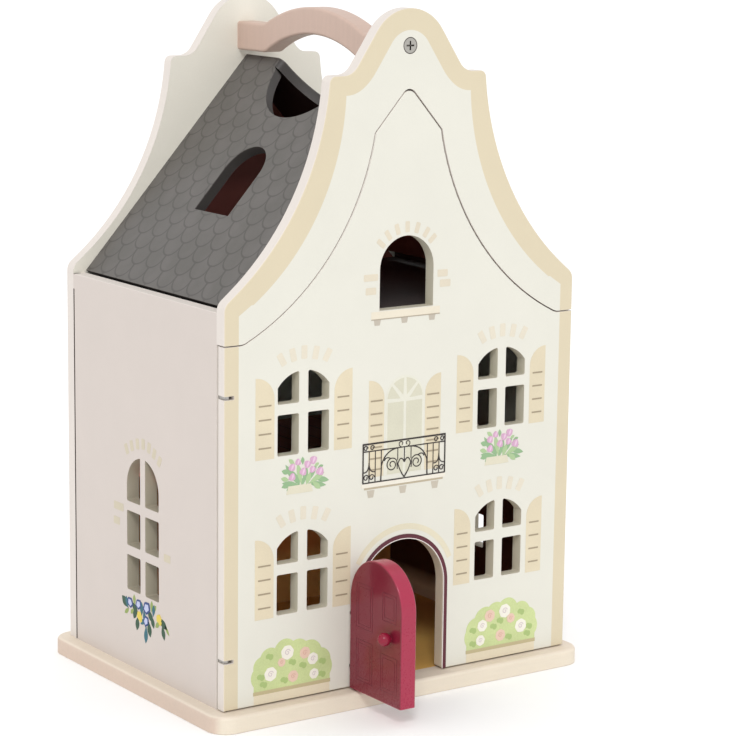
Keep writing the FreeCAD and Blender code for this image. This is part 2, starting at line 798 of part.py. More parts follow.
def make_left_side_wall():
    body = make_side_wall("left_side_wall", -1)
    grip = new_sketch(body, "XZ", INNER_FRONT)
    half = size("leaf_thickness") / 2
    for level in FACADE_LEAVES:
        left = FACADE_PIN_X - size("leaf_radius")
        right = FACADE_PIN_X + size("leaf_radius")
        add_rectangle(grip, left, right, level - half, level + half)
    cut(body, grip, size("leaf_grip") * 2)


def make_right_side_wall():
    body = make_side_wall("right_side_wall", 1)
    drill(body, "XZ", INNER_FRONT, size("magnet_depth") * 2, CATCH_POINTS, size("magnet_radius"))


# ---------------------------------------------------------------- roof

def make_roof_panel(label, hand):
    """The right board runs over the top of the left one at the ridge."""
    body = new_body(label)
    thickness = size("roof_thickness")
    overlap = thickness / sine(PITCH * 2)
    length = size("roof_length")
    outer_end = roof_point(hand, length, ZERO)
    inner_end = roof_point(hand, length, thickness)
    lap = roof_point(-1, overlap, ZERO)
    if hand > 0:
        section = [(ZERO, RIDGE), lap, inner_end, outer_end]
    else:
        section = [lap, (ZERO, RIDGE - overlap * sine(PITCH) * 2), inner_end, outer_end]
    sketch = new_sketch(body, "XZ", ZERO)
    add_outline(sketch, section)
    pad(body, sketch, CLEAR_DEPTH)

    openings = slope_sketch(body, hand)
    half = size("roof_window_half_width")
    foot = size("roof_window_foot") * hand
    spring = (size("roof_window_top") + half) * hand
    add_outline(openings, [(foot, -half), (foot, half), (spring, half, half, hand), (spring, -half)])
    add_circle(openings, (ZERO, ZERO), size("notch_radius"))
    cut(body, openings, thickness * 6)

    round_edges(body, size("notch_round"), notch_corner)
    points = [point for point in ROOF_DOWELS if point[0].value * hand > 0]
    for level in (INNER_FRONT, INNER_BACK):
        drill(body, "XZ", level, size("dowel_edge_depth") * 2, points, size("roof_dowel_radius"))


def notch_corner(edge):
    """Short edges where the hand notch meets the end of a roof board."""
    ends = [vertex.Point for vertex in edge.Vertexes]
    radius = size("notch_radius").value
    thickness = size("roof_thickness").value
    if len(ends) != 2 or edge.Length > 2 * thickness:
        return False
    at_side = all(radius - thickness < abs(point.y) < radius + NEAR for point in ends)
    return at_side and min(point.z for point in ends) > RIDGE.value - 3 * thickness


# ---------------------------------------------------------------- floors

def make_floor(label):
    body = new_body(label)
    middle = FLOOR_MIDDLES[label]
    front = INNER_FRONT + size("floor_setback")
    sketch = new_sketch(body, "XY", middle)
    add_rectangle(sketch, -INNER_SIDE, INNER_SIDE, front, INNER_BACK)
    pad(body, sketch, size("floor_board"))
    points = [(y, middle) for y in SPREAD]
    for hand in (-1, 1):
        drill(body, "YZ", INNER_SIDE * hand, size("dowel_edge_depth") * 2, points, size("dowel_radius"))


# ---------------------------------------------------------------- handle

def make_handle():
    """A bow with level feet. Each curve of the bow meets the feet in a small hollow."""
    body = new_body("handle")
    low = GROUND + size("handle_low")
    high = GROUND + size("handle_high")
    low_radius = size("handle_low_radius")
    high_radius = size("handle_high_radius")
    low_drop = size("handle_bow_low") - size("handle_low")
    high_drop = size("handle_bow_high") - size("handle_high")
    low_half = root(low_radius * low_drop * 2 - low_drop * low_drop)
    high_half = root(high_radius * high_drop * 2 - high_drop * high_drop)
    sketch = new_sketch(body, "YZ", ZERO)
    add_outline(sketch, [
        (INNER_FRONT, low), (-low_half, low, low_radius, -1), (low_half, low), (INNER_BACK, low),
        (INNER_BACK, high), (high_half, high, high_radius, 1), (-high_half, high), (INNER_FRONT, high),
    ])
    pad(body, sketch, size("handle_width"))
    for half, level in ((low_half, low), (high_half, high)):
        round_edges(body, size("handle_hollow"), at_points(0, [(-half, level), (half, level)]))
    round_edges(body, size("handle_round"), long_handle_edge)
    reach = size("handle_screw_length") - BOARD
    point = [(ZERO, GROUND + size("handle_screw_level"))]
    for level in (INNER_FRONT, INNER_BACK):
        drill(body, "XZ", level, reach * 2, point, size("handle_screw_shank"))


def long_handle_edge(edge):
    """Edges along both sides of the handle, not those against the gables."""
    half = size("handle_width") / 2
    on_side = in_plane(0, half)(edge) or in_plane(0, -half)(edge)
    box = edge.BoundBox
    return on_side and box.YMax - box.YMin > NEAR


# ---------------------------------------------------------------- entrance door

def make_entrance_door():
    """The door at rest, open at a right angle in front of the facade."""
    body = new_body("entrance_door")
    thickness = size("door_thickness")
    outer = DOOR_PIN_X - size("door_pin_depth")
    middle = outer + thickness / 2
    hinged = DOOR_PIN_Y - size("door_swing_gap")
    free = hinged - size("door_width")
    foot = GROUND + size("door_lift")
    half = size("door_width") / 2
    spring = foot + size("door_height") - half
    sketch = new_sketch(body, "YZ", middle)
    add_arch(sketch, hinged - half, half, foot, spring)
    pad(body, sketch, thickness)

    def face_edge(edge):
        box = edge.BoundBox
        on_face = in_plane(0, outer)(edge) or in_plane(0, outer + thickness)(edge)
        return on_face and box.ZMax > foot.value + NEAR

    round_edges(body, size("door_round"), face_edge)
    grip = new_sketch(body, "XZ", hinged)
    leaf_half = size("leaf_thickness") / 2
    for level in DOOR_LEAVES:
        left = DOOR_PIN_X - size("leaf_radius")
        right = DOOR_PIN_X + size("leaf_radius")
        add_rectangle(grip, left, right, level - leaf_half, level + leaf_half)
    cut(body, grip, size("leaf_grip") * 2)
    knob_point = [(free + size("knob_inset"), GROUND + size("knob_height"))]
    depth = size("knob_tenon_depth")
    drill(body, "YZ", outer, depth * 2, knob_point, size("knob_tenon_radius"))
    return outer, free


def make_door_knob(outer, free):
    """A turned ball on a tenon."""
    radius = size("knob_radius")
    y = free + size("knob_inset")
    z = GROUND + size("knob_height")
    ball = doc.addObject("Part::Sphere", "knob_ball")
    ball.Placement = Placement(Vector(0, 0, 0), Rotation(Vector(0, 0, 1), Vector(1, 0, 0)))
    bind(ball, "Radius", radius)
    for letter, term in zip("xyz", (outer - radius, y, z)):
        bind(ball, "Placement.Base." + letter, term)
    start = (outer - radius, y, z)
    length = radius + size("knob_tenon_depth")
    tenon = rod("knob_tenon", size("knob_tenon_radius"), length, start, Vector(1, 0, 0))
    knob = fuse("door_knob", [ball, tenon])
    knob.Label = "door_knob"
    nodes.append(knob)


# ---------------------------------------------------------------- hinges and catches

def leaf(name, pin_x, pin_y, reach, heading, level):
    """A flat hinge leaf: a round eye on the pin and an arm along Y, heading +1 or -1."""
    radius = size("leaf_radius")
    thickness = size("leaf_thickness")
    low = level - thickness / 2
    up = Vector(0, 0, 1)
    eye = rod(name + "_eye", radius, thickness, (pin_x, pin_y, low), up)
    corner_y = pin_y if heading > 0 else pin_y - reach
    arm = block(name + "_arm", (radius * 2, reach, thickness), (pin_x - radius, corner_y, low))
    bore_radius = size("pin_radius") + size("pin_play")
    bore = rod(name + "_bore", bore_radius, thickness * 3, (pin_x, pin_y, low - thickness), up)
    return cut_away(name, fuse(name + "_plate", [eye, arm]), bore)


def make_hinges():
    reach = INNER_FRONT + size("leaf_grip") - FACADE_PIN_Y
    group("facade_hinge_leaves", [
        leaf("facade_leaf_%d" % number, FACADE_PIN_X, FACADE_PIN_Y, reach, 1, level)
        for number, level in enumerate(FACADE_LEAVES)
    ])
    reach = size("door_swing_gap") + size("leaf_grip")
    group("door_hinge_leaves", [
        leaf("door_leaf_%d" % number, DOOR_PIN_X, DOOR_PIN_Y, reach, -1, level)
        for number, level in enumerate(DOOR_LEAVES)
    ])
    low = GROUND + size("panel_lift")
    length = size("facade_leaf_inset") + size("pin_reach")
    upper_start = GROUND + size("seam_height") - length
    up = Vector(0, 0, 1)
    group("facade_hinge_pins", [
        rod("facade_pin_%d" % number, size("pin_radius"), length, (FACADE_PIN_X, FACADE_PIN_Y, start), up)
        for number, start in enumerate((low, upper_start))
    ])
    start = (DOOR_PIN_X, DOOR_PIN_Y, low)
    pin = rod("door_hinge_pin", size("pin_radius"), DOOR_PIN_TOP - low, start, up)
    pin.Label = "door_hinge_pin"
    nodes.append(pin)


def make_catches():
    along = Vector(0, 1, 0)
    radius = size("magnet_radius")
    group("catch_magnets", [
        rod("magnet_%d" % number, radius, size("magnet_depth"), (x, INNER_FRONT, z), along)
        for number, (x, z) in enumerate(CATCH_POINTS)
    ])
    start = FRONT + PANEL_THICKNESS - size("plate_depth")
    group("catch_plates", [
        rod("plate_%d" % number, radius, size("plate_depth"), (x, start, z), along)
        for number, (x, z) in enumerate(CATCH_POINTS)
    ])


# ---------------------------------------------------------------- screws and dowels

def cross_recess(name, centre, direction, head_radius):
    """Two crossing slots, sunk from the middle of a head's face along the screw."""
    width = size("recess_width")
    span = head_radius * size("recess_share") * 2
    depth = size("recess_depth")
    x, y, z = centre
    slots = []
    for number, (wide, tall) in enumerate(((span, width), (width, span))):
        if abs(direction.z) > NEAR:
            sizes = (wide, tall, depth * 2)
            corner = (x - wide / 2, y - tall / 2, z - depth)
        else:
            sizes = (wide, depth * 2, tall)
            corner = (x - wide / 2, y - depth, z - tall / 2)
        slots.append(block("%s_slot_%d" % (name, number), sizes, corner))
    return fuse(name + "_recess", slots)


def make_handle_screws():
    screws = []
    shank_radius = size("handle_screw_shank")
    head_radius = size("handle_screw_head")
    level = GROUND + size("handle_screw_level")
    for name, face, along in (("front", FRONT, Vector(0, 1, 0)), ("back", BACK, Vector(0, -1, 0))):
        start = (ZERO, face, level)
        title = "handle_screw_" + name
        head = doc.addObject("Part::Cone", title + "_head")
        head.Placement = Placement(Vector(0, 0, 0), Rotation(Vector(0, 0, 1), along))
        bind(head, "Radius1", head_radius)
        bind(head, "Radius2", shank_radius)
        bind(head, "Height", head_radius - shank_radius)
        for letter, term in zip("xyz", start):
            bind(head, "Placement.Base." + letter, term)
        shank = rod(title + "_shank", shank_radius, size("handle_screw_length"), start, along)
        recess = cross_recess(title, start, along, head_radius)
        screws.append(cut_away(title, fuse(title + "_blank", [head, shank]), recess))
    group("handle_screws", screws)


def make_base_screws():
    screws = []
    up = Vector(0, 0, 1)
    head_radius = size("screw_head_radius")
    head_height = size("screw_head_height")
    seat = size("screw_sink")
    for number, (x, y) in enumerate(SCREW_POINTS):
        title = "base_screw_%d" % number
        low = seat - head_height
        head = rod(title + "_head", head_radius, head_height, (x, y, low), up)
        shank = rod(title + "_shank", size("screw_shank_radius"), size("screw_length"), (x, y, seat), up)
        recess = cross_recess(title, (x, y, low), up, head_radius)
        screws.append(cut_away(title, fuse(title + "_blank", [head, shank]), recess))
    group("base_screws", screws)


def make_dowels():
    face = size("dowel_face_depth")
    edge = size("dowel_edge_depth")
    length = face + edge
    radius = size("dowel_radius")
    along_y = Vector(0, 1, 0)
    group("back_dowels", [
        rod("back_dowel_%d" % number, radius, length, (x, INNER_BACK - edge, z), along_y)
        for number, (x, z) in enumerate(BACK_DOWELS)
    ])
    group("front_dowels", [
        rod("front_dowel_%d" % number, radius, length, (x, INNER_FRONT - face, z), along_y)
        for number, (x, z) in enumerate(FRONT_DOWELS)
    ])
    roof = []
    for number, (x, z) in enumerate(ROOF_DOWELS):
        for end, start in (("front", INNER_FRONT - face), ("back", INNER_BACK - edge)):
            name = "roof_dowel_%s_%d" % (end, number)
            roof.append(rod(name, size("roof_dowel_radius"), length, (x, start, z), along_y))
    group("roof_dowels", roof)
    for label, level in FLOOR_MIDDLES.items():
        dowels = []
        for y in SPREAD:
            for start in (-INNER_SIDE - face, INNER_SIDE - edge):
                name = "%s_dowel_%d" % (label, len(dowels))
                dowels.append(rod(name, radius, length, (start, y, level), Vector(1, 0, 0)))
        group(label + "_dowels", dowels)


# ---------------------------------------------------------------- build, check and write

make_base_plate()
make_left_side_wall()
make_right_side_wall()
make_back_gable()
make_front_gable()
make_front_panel()
make_roof_panel("left_roof_panel", -1)
make_roof_panel("right_roof_panel", 1)
make_floor("first_floor")
make_floor("attic_floor")
make_handle()
make_door_knob(*make_entrance_door())
make_hinges()
make_catches()
make_handle_screws()
make_base_screws()
make_dowels()
doc.recompute()

for item in doc.Objects:
    if "Invalid" in item.State or "Error" in item.State:
        raise RuntimeError("%s failed: %s" % (item.Name, item.State))
    if item.TypeId == "PartDesign::Pocket":
        removed = item.BaseFeature.Shape.Volume - item.Shape.Volume
        if removed < NEAR:
            raise RuntimeError("%s cuts nothing" % item.Name)

os.makedirs("parts", exist_ok=True)
for item in nodes:
    if item.Shape.isNull() or not item.Shape.isValid():
        raise RuntimeError("%s has no valid shape" % item.Label)
    item.Shape.exportStep("parts/%s.step" % item.Label)
    print("%-22s %9.1f mm3 %d solids" % (item.Label, item.Shape.Volume, len(item.Shape.Solids)))
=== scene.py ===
import math

import bmesh
import bpy
from mathutils import Matrix, Vector


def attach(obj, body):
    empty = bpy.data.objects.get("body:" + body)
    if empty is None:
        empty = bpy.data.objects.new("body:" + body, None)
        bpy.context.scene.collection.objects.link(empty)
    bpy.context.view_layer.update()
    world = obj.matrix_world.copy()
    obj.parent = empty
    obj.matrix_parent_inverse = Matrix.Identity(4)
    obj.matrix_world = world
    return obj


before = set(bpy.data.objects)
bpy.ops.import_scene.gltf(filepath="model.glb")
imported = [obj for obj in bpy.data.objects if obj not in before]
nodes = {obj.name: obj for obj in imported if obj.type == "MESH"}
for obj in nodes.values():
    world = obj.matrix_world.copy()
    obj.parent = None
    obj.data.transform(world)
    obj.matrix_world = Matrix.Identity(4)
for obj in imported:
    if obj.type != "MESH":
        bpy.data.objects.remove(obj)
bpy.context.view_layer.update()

MM = 0.001

# In millimetres: outer faces of the facade, the side walls and the open door, the height of the roof's ridge,
# the boards' thicknesses and the height of the handle's screws. The pitch is in radians.
FRONT = 100.0
SIDE = 135.0
DOOR_FACE = 41.7
RIDGE = 402.8
PITCH = math.radians(48)
BOARD = 9.0
ROOF_BOARD = 7.0
SCREW_HEIGHT = 420.2

# Printed roof tiles and floor planks, in millimetres.
TILE_PITCH = 18.3
TILE_ROW = 11.5
FIRST_ROW = 59.2
FIRST_TILE = -78.3
PLANK = 18.0


# ---------------------------------------------------------------- materials

def ink(code):
    """A colour written as six hex digits, as the linear colour that shaders use."""
    parts = [int(code[i:i + 2], 16) / 255 for i in (0, 2, 4)]
    return tuple(p / 12.92 if p <= 0.04045 else ((p + 0.055) / 1.055) ** 2.4 for p in parts) + (1.0,)


class Finish:
    """One procedural material: positions are in millimetres in the house's own frame."""

    def __init__(self, name, metallic=0.0, coat=0.0, ior=1.45, coat_roughness=0.1):
        self.material = bpy.data.materials.new(name)
        self.material.use_nodes = True
        self.tree = self.material.node_tree
        self.tree.nodes.clear()
        self.shader = self.tree.nodes.new("ShaderNodeBsdfPrincipled")
        self.shader.inputs["Metallic"].default_value = metallic
        self.shader.inputs["IOR"].default_value = ior
        self.shader.inputs["Coat Weight"].default_value = coat
        self.shader.inputs["Coat Roughness"].default_value = coat_roughness
        out = self.tree.nodes.new("ShaderNodeOutputMaterial")
        self.tree.links.new(self.shader.outputs[0], out.inputs[0])
        where = self.tree.nodes.new("ShaderNodeTexCoord")
        self.place = where.outputs["Object"]
        self.x, self.y, self.z = self.split(self.place, 1 / MM)
        self.nx, self.ny, self.nz = self.split(where.outputs["Normal"], 1.0)

    def split(self, vector, by):
        node = self.tree.nodes.new("ShaderNodeSeparateXYZ")
        self.tree.links.new(vector, node.inputs[0])
        return [self.math("MULTIPLY", socket, by) for socket in node.outputs]

    def feed(self, value, socket):
        if isinstance(value, bpy.types.NodeSocket):
            self.tree.links.new(value, socket)
        else:
            socket.default_value = value

    def math(self, kind, a, b=0.0):
        node = self.tree.nodes.new("ShaderNodeMath")
        node.operation = kind
        self.feed(a, node.inputs[0])
        self.feed(b, node.inputs[1])
        return node.outputs[0]

    def mix(self, amount, first, second):
        node = self.tree.nodes.new("ShaderNodeMix")
        node.data_type = "RGBA"
        self.feed(amount, node.inputs[0])
        self.feed(first, node.inputs[6])
        self.feed(second, node.inputs[7])
        return node.outputs[2]

    def noise(self, scale, detail=3.0, stretch=(1, 1, 1)):
        scaled = self.tree.nodes.new("ShaderNodeVectorMath")
        scaled.operation = "MULTIPLY"
        self.feed(self.place, scaled.inputs[0])
        scaled.inputs[1].default_value = stretch
        node = self.tree.nodes.new("ShaderNodeTexNoise")
        self.feed(scaled.outputs[0], node.inputs["Vector"])
        node.inputs["Scale"].default_value = scale
        node.inputs["Detail"].default_value = detail
        return node.outputs["Fac"]

    def span(self, value, low, high, to_low=0.0, to_high=1.0):
        node = self.tree.nodes.new("ShaderNodeMapRange")
        self.feed(value, node.inputs["Value"])
        for name, number in (("From Min", low), ("From Max", high), ("To Min", to_low), ("To Max", to_high)):
            node.inputs[name].default_value = number
        return node.outputs[0]

    def over(self, value, limit):
        """1 where value is over limit, with a soft edge a fifth of a millimetre wide."""
        if isinstance(limit, bpy.types.NodeSocket):
            return self.span(self.math("SUBTRACT", value, limit), -0.1, 0.1)
        return self.span(value, limit - 0.1, limit + 0.1)

    def less(self, value, limit):
        return self.math("LESS_THAN", value, limit)

    def off(self, value):
        """How far a value is from zero."""
        return self.math("ABSOLUTE", value)

    def distance(self, across, up):
        squares = [self.math("POWER", self.off(each), 2.0) for each in (across, up)]
        return self.math("SQRT", self.math("ADD", *squares))

    def both(self, *masks):
        """1 where all the masks are."""
        found = masks[0]
        for mask in masks[1:]:
            found = self.math("MULTIPLY", found, mask)
        return found

    def edges(self, reach):
        """1 along the arrises, within reach metres of them."""
        soft = self.tree.nodes.new("ShaderNodeBevel")
        soft.samples = 4
        soft.inputs["Radius"].default_value = reach
        true = self.tree.nodes.new("ShaderNodeNewGeometry")
        dot = self.tree.nodes.new("ShaderNodeVectorMath")
        dot.operation = "DOT_PRODUCT"
        self.tree.links.new(soft.outputs[0], dot.inputs[0])
        self.tree.links.new(true.outputs["Normal"], dot.inputs[1])
        return self.span(dot.outputs["Value"], 0.995, 0.93)

    def edge_wear_and_highlight(self, colour, edge_colour, reach=0.0005, amount=0.6):
        """Lets another colour show along the arrises: the raw board where the paint has rubbed off, and a
        painted highlight where the arrises catch the light.
        """
        return self.mix(self.math("MULTIPLY", self.edges(reach), amount), colour, edge_colour)

    def done(self, colour, rough=(0.45, 0.6), grain=(40, 40, 4), depth=0.00004, tone=0.06, fine=900.0):
        """Lays colour with slow uneven tone, fine speckle, uneven gloss and a grain that stands in relief."""
        slow = self.noise(9.0, 4.0)
        speck = self.noise(fine, 2.0)
        fibre = self.noise(10.0, 5.0, grain)
        shade = self.tree.nodes.new("ShaderNodeHueSaturation")
        light = self.math("ADD", self.span(slow, 0.3, 0.7, 1 - tone, 1 + tone / 2),
                          self.math("ADD", self.span(speck, 0.3, 0.7, -tone / 3, tone / 3),
                                    self.span(fibre, 0.3, 0.7, -tone / 2, tone / 2)))
        self.feed(light, shade.inputs["Value"])
        self.feed(colour, shade.inputs["Color"])
        self.feed(shade.outputs[0], self.shader.inputs["Base Color"])
        gloss = self.math("ADD", self.span(slow, 0.3, 0.7, *rough), self.span(speck, 0.3, 0.7, -0.03, 0.03))
        self.feed(gloss, self.shader.inputs["Roughness"])
        relief = self.tree.nodes.new("ShaderNodeBump")
        relief.inputs["Strength"].default_value = 0.5
        relief.inputs["Distance"].default_value = depth
        self.feed(self.math("ADD", fibre, self.math("MULTIPLY", speck, 0.4)), relief.inputs["Height"])
        self.feed(relief.outputs[0], self.shader.inputs["Normal"])
        return self.material


CREAM = ink("D8D6CB")
BEIGE = ink("D0C4A9")
RAW_EDGE = ink("D7CFC8")
# The window reveals' colour: the wall's paint darkened to an olive grey as painted shade.
SHADED_REVEAL = ink("CBC5B2")
JAMB = ink("D3C6B0")
# Painted shade: a dark brown for the inside of the house below the lowest room's colours.
SHADE_GROUND = ink("2A211D")
# Painted shade in the groove where a side wall meets the back gable.
SEAM_SHADE = ink("3A2E2A")

# Each room's colours on a wall: its lowest level, its colours low down and high up, and the height of the
# change. They are partly print and partly painted shade: each room darkens higher up, under its ceiling, and
# the side walls' rooms are darker than the back's.
ROOM_BACK = [(11, "EBB468", "D98C46", 34), (145, "E4EAE0", "8E948E", 66), (254, "A86056", "8A4E44", 60)]
ROOM_SIDE = [(11, "E4DECC", "40201A", 14), (145, "C0C8BC", "7C827C", 66), (254, "3A2824", "2A1E1B", 40)]
ROOM_BLEND = 6

# Half width and top of the part of the facade that holds each group of openings.
WINDOWS_BOX = (112.0, 232.0)
ATTIC_BOX = (22.0, 303.0)
DOORWAY_BOX = (36.0, 106.0)

# The same for the window in a side wall.
SIDE_WINDOW_BOX = (60.0, 160.0)

# Seam between a side wall and the gable behind it. The groove's faces there are painted dark as shade.
SEAM_INNER = 130.0
SEAM_FRONT = 89.3
SEAM_TOP = 252.0


def facing(f, normal, sign=1):
    """1 on the faces whose normal points the way of sign along one axis."""
    return f.span(f.math("MULTIPLY", normal, sign), 0.45, 0.75)


def around(f, across, side, top):
    """1 nearer the middle than side and lower than top."""
    return f.both(f.less(f.off(across), side), f.less(f.z, top))


def below_roof(f):
    """How far a point is over the roof's top face, measured square to it."""
    return f.math("ADD", f.math("MULTIPLY", f.off(f.x), math.sin(PITCH)),
                  f.math("MULTIPLY", f.math("SUBTRACT", f.z, RIDGE), math.cos(PITCH)))


def room_side(f):
    """1 on the parts of a gable that are inside the house."""
    return f.both(f.less(f.off(f.x), SIDE - BOARD + 0.4), f.less(below_roof(f), 0.1 - ROOF_BOARD))


def inner_print_and_shade(f, rooms):
    """The rooms' walls, partly print and partly painted shade, over painted shade below the lowest room."""
    colour = SHADE_GROUND
    for low, skirting, wall, change in rooms:
        blend = f.span(f.z, low + change - ROOM_BLEND, low + change + ROOM_BLEND)
        colour = f.mix(f.over(f.z, low), colour, f.mix(blend, ink(skirting), ink(wall)))
    return colour


def gable_front(name):
    """Cream field inside a beige border. The border's inner edge is made of a strip up each side, a slanted
    shoulder, a sweep about a middle outside the gable, a ledge, a straight and a round crown.
    """
    f = Finish(name, coat=0.15, coat_roughness=0.35)
    across = f.off(f.x)
    sweep_middle, sweep_height, sweep_radius = 210.0, 397.8, 162.5
    sweep_low, sweep_high, sweep_inner = 266.4, 400.0, 40.0
    shoulder_slope, shoulder_height, shoulder_inner = 0.667, 343.6, 115.0
    strip_inner = 124.8
    ledge_side, ledge_end, ledge_height, ledge_rise, ledge_bend = 26.5, 47.5, 390.8, 12.6, 2.2
    straight_height, straight_slope = 403.4, 1.494
    crown_side, crown_height, crown_radius = 13.7, 413.3, 16.5
    sweep = f.distance(f.math("SUBTRACT", sweep_middle, across), f.math("SUBTRACT", f.z, sweep_height))
    in_sweep = f.both(f.less(sweep, sweep_radius), f.over(f.z, sweep_low), f.less(f.z, sweep_high),
                      f.over(across, sweep_inner))
    slanted = f.math("ADD", f.z, f.math("MULTIPLY", across, shoulder_slope))
    shoulder = f.both(f.over(slanted, shoulder_height), f.over(across, shoulder_inner))
    strip = f.over(across, strip_inner)
    along_ledge = f.math("DIVIDE", f.math("SUBTRACT", ledge_end, across), ledge_end - ledge_side)
    rise = f.math("POWER", f.math("MAXIMUM", along_ledge, 0.0), ledge_bend)
    ledge = f.math("ADD", ledge_height, f.math("MULTIPLY", rise, ledge_rise))
    inwards = f.math("SUBTRACT", ledge_side, across)
    straight = f.math("ADD", straight_height, f.math("MULTIPLY", inwards, straight_slope))
    round_top = f.math("MAXIMUM", f.math("SUBTRACT", crown_radius ** 2, f.math("POWER", across, 2.0)), 0.0)
    crown = f.math("ADD", crown_height, f.math("SQRT", round_top))
    over_ledge = f.both(f.over(across, ledge_side), f.over(f.z, ledge))
    over_straight = f.both(f.less(across, ledge_side), f.over(across, crown_side), f.over(f.z, straight))
    over_crown = f.both(f.less(across, crown_side), f.over(f.z, crown))
    border = strip
    for mask in (in_sweep, shoulder, over_ledge, over_straight, over_crown):
        border = f.math("MAXIMUM", border, mask)
    return f, f.mix(border, CREAM, BEIGE)


def front_board(name):
    """The gable's front, its window reveals in painted shade, its doorway's jamb, and the room prints behind
    it, which are partly painted shade.
    """
    f, face = gable_front(name)
    opening = f.math("MAXIMUM", around(f, f.x, *WINDOWS_BOX), around(f, f.x, *ATTIC_BOX))
    # Painted shade on the window reveals.
    reveal = f.mix(around(f, f.x, *DOORWAY_BOX), SHADED_REVEAL, JAMB)
    colour = f.mix(facing(f, f.ny, -1), f.mix(opening, RAW_EDGE, reveal), face)
    colour = f.mix(facing(f, f.ny), colour, f.mix(room_side(f), CREAM, inner_print_and_shade(f, ROOM_SIDE)))
    return f.done(f.edge_wear_and_highlight(colour, RAW_EDGE), rough=(0.5, 0.62), grain=(4, 40, 4), tone=0.02)


def side_board(name):
    """Pinkish white outside, room prints inside that are partly painted shade, painted shade in the window's
    reveal, and painted shade in the seam at the back edge.
    """
    f = Finish(name, coat=0.1, coat_roughness=0.4)
    outward = f.math("MULTIPLY", f.nx, f.math("SIGN", f.x))
    opening = around(f, f.y, *SIDE_WINDOW_BOX)
    # The window's reveal is darkened to an olive grey: painted shade.
    colour = f.mix(facing(f, outward), f.mix(opening, RAW_EDGE, ink("ABA492")), ink("CAC0B9"))
    colour = f.mix(facing(f, outward, -1), colour, inner_print_and_shade(f, ROOM_SIDE))
    # Painted shade: the faces of the groove at the wall's back edge are darkened.
    seam = f.both(f.over(f.y, SEAM_FRONT), f.less(f.off(f.x), SIDE - 0.15), f.over(f.off(f.x), SEAM_INNER))
    colour = f.mix(seam, colour, SEAM_SHADE)
    return f.done(f.edge_wear_and_highlight(colour, RAW_EDGE), rough=(0.5, 0.65), grain=(4, 4, 4), tone=0.02)


def back_board(name):
    """Plain outside, room prints inside that are partly painted shade, a cream lightened as painted light where
    it stands above the roof, and painted shade in the seam at its sides.
    """
    f = Finish(name, coat=0.1, coat_roughness=0.4)
    colour = f.mix(facing(f, f.ny), RAW_EDGE, ink("D2CCC0"))
    # Painted light: where the gable stands above the roof, its inner face gets a cream lighter than the front
    # gable's, to lift the shade there.
    inner = f.mix(room_side(f), ink("E4E0D4"), inner_print_and_shade(f, ROOM_BACK))
    colour = f.mix(facing(f, f.ny, -1), colour, inner)
    # Painted shade: the strip of the gable's inner face behind the side walls' groove is darkened.
    seam = f.both(facing(f, f.ny, -1), f.over(f.off(f.x), SEAM_INNER), f.less(f.z, SEAM_TOP))
    colour = f.mix(seam, colour, SEAM_SHADE)
    return f.done(f.edge_wear_and_highlight(colour, RAW_EDGE), rough=(0.5, 0.65), grain=(4, 40, 4), tone=0.03)


def wrapped(f, value, pitch):
    return f.math("FLOORED_MODULO", value, pitch)


def scales(f, down, along, first_row, first_tile):
    """1 on the printed outline of every second row of round-ended tiles."""
    radius = TILE_PITCH / 2
    line_inset = 0.3
    rows_up = f.math("ADD", f.math("SUBTRACT", first_row, down), 1.0)
    beside = f.math("SUBTRACT", wrapped(f, f.math("ADD", along, radius - first_tile), TILE_PITCH), radius)
    up = f.math("SUBTRACT", wrapped(f, rows_up, 2 * TILE_ROW), 1.0)
    drop = f.math("MAXIMUM", f.math("SUBTRACT", radius, up), 0.0)
    off_line = f.off(f.math("SUBTRACT", f.distance(beside, drop), radius - line_inset))
    return f.both(f.span(off_line, 0.75, 0.45), f.less(up, TILE_ROW + line_inset))


def roof_board(name):
    """Slate grey with printed tiles on top, dark edges, painted highlights along the arrises, and a reddish
    room print underneath that goes dark towards the ridge as painted shade.
    """
    f = Finish(name, coat=0.12, coat_roughness=0.35)
    depth = below_roof(f)
    down = f.math("ADD", f.math("MULTIPLY", f.off(f.x), math.cos(PITCH)),
                  f.math("MULTIPLY", f.math("SUBTRACT", RIDGE, f.z), math.sin(PITCH)))
    along = f.math("MULTIPLY", f.y, -1.0)
    even = scales(f, down, along, FIRST_ROW, FIRST_TILE)
    odd = scales(f, down, along, FIRST_ROW + TILE_ROW, FIRST_TILE + TILE_PITCH / 2)
    lines = f.math("MAXIMUM", even, odd)
    slate = f.mix(f.span(f.noise(60.0, 4.0), 0.35, 0.65), ink("575450"), ink("5E5A57"))
    top = f.mix(f.math("MULTIPLY", lines, 0.6), slate, ink("3A3633"))
    colour = f.mix(f.over(depth, -0.6), ink("3C3836"), top)
    # Painted shade: the room print under the roof turns dark brown near the ridge.
    under = f.mix(f.span(down, 60.0, 85.0), ink("241B19"), ink("A85E50"))
    colour = f.mix(f.span(depth, 0.06 - ROOF_BOARD, 0.01 - ROOF_BOARD), colour, under)
    # Painted highlight: the arrises get a lighter grey.
    edge_wear_and_highlight = f.edge_wear_and_highlight(colour, ink("6B6560"), reach=0.0006, amount=0.35)
    return f.done(edge_wear_and_highlight, rough=(0.42, 0.55), grain=(4, 4, 4), tone=0.05)


def plain(name, code, rough=(0.45, 0.6), coat=0.1, grain=(4, 40, 4), tone=0.05, edge_colour=None, depth=0.00004,
          metallic=0.0, coat_roughness=0.3, ior=1.45):
    """One colour all over, with the raw board's colour along the edges where one is given."""
    f = Finish(name, metallic=metallic, coat=coat, coat_roughness=coat_roughness, ior=ior)
    colour = ink(code)
    if edge_colour:
        colour = f.edge_wear_and_highlight(colour, ink(edge_colour), reach=0.0009, amount=0.8)
    return f.done(colour, rough=rough, grain=grain, tone=tone, depth=depth)


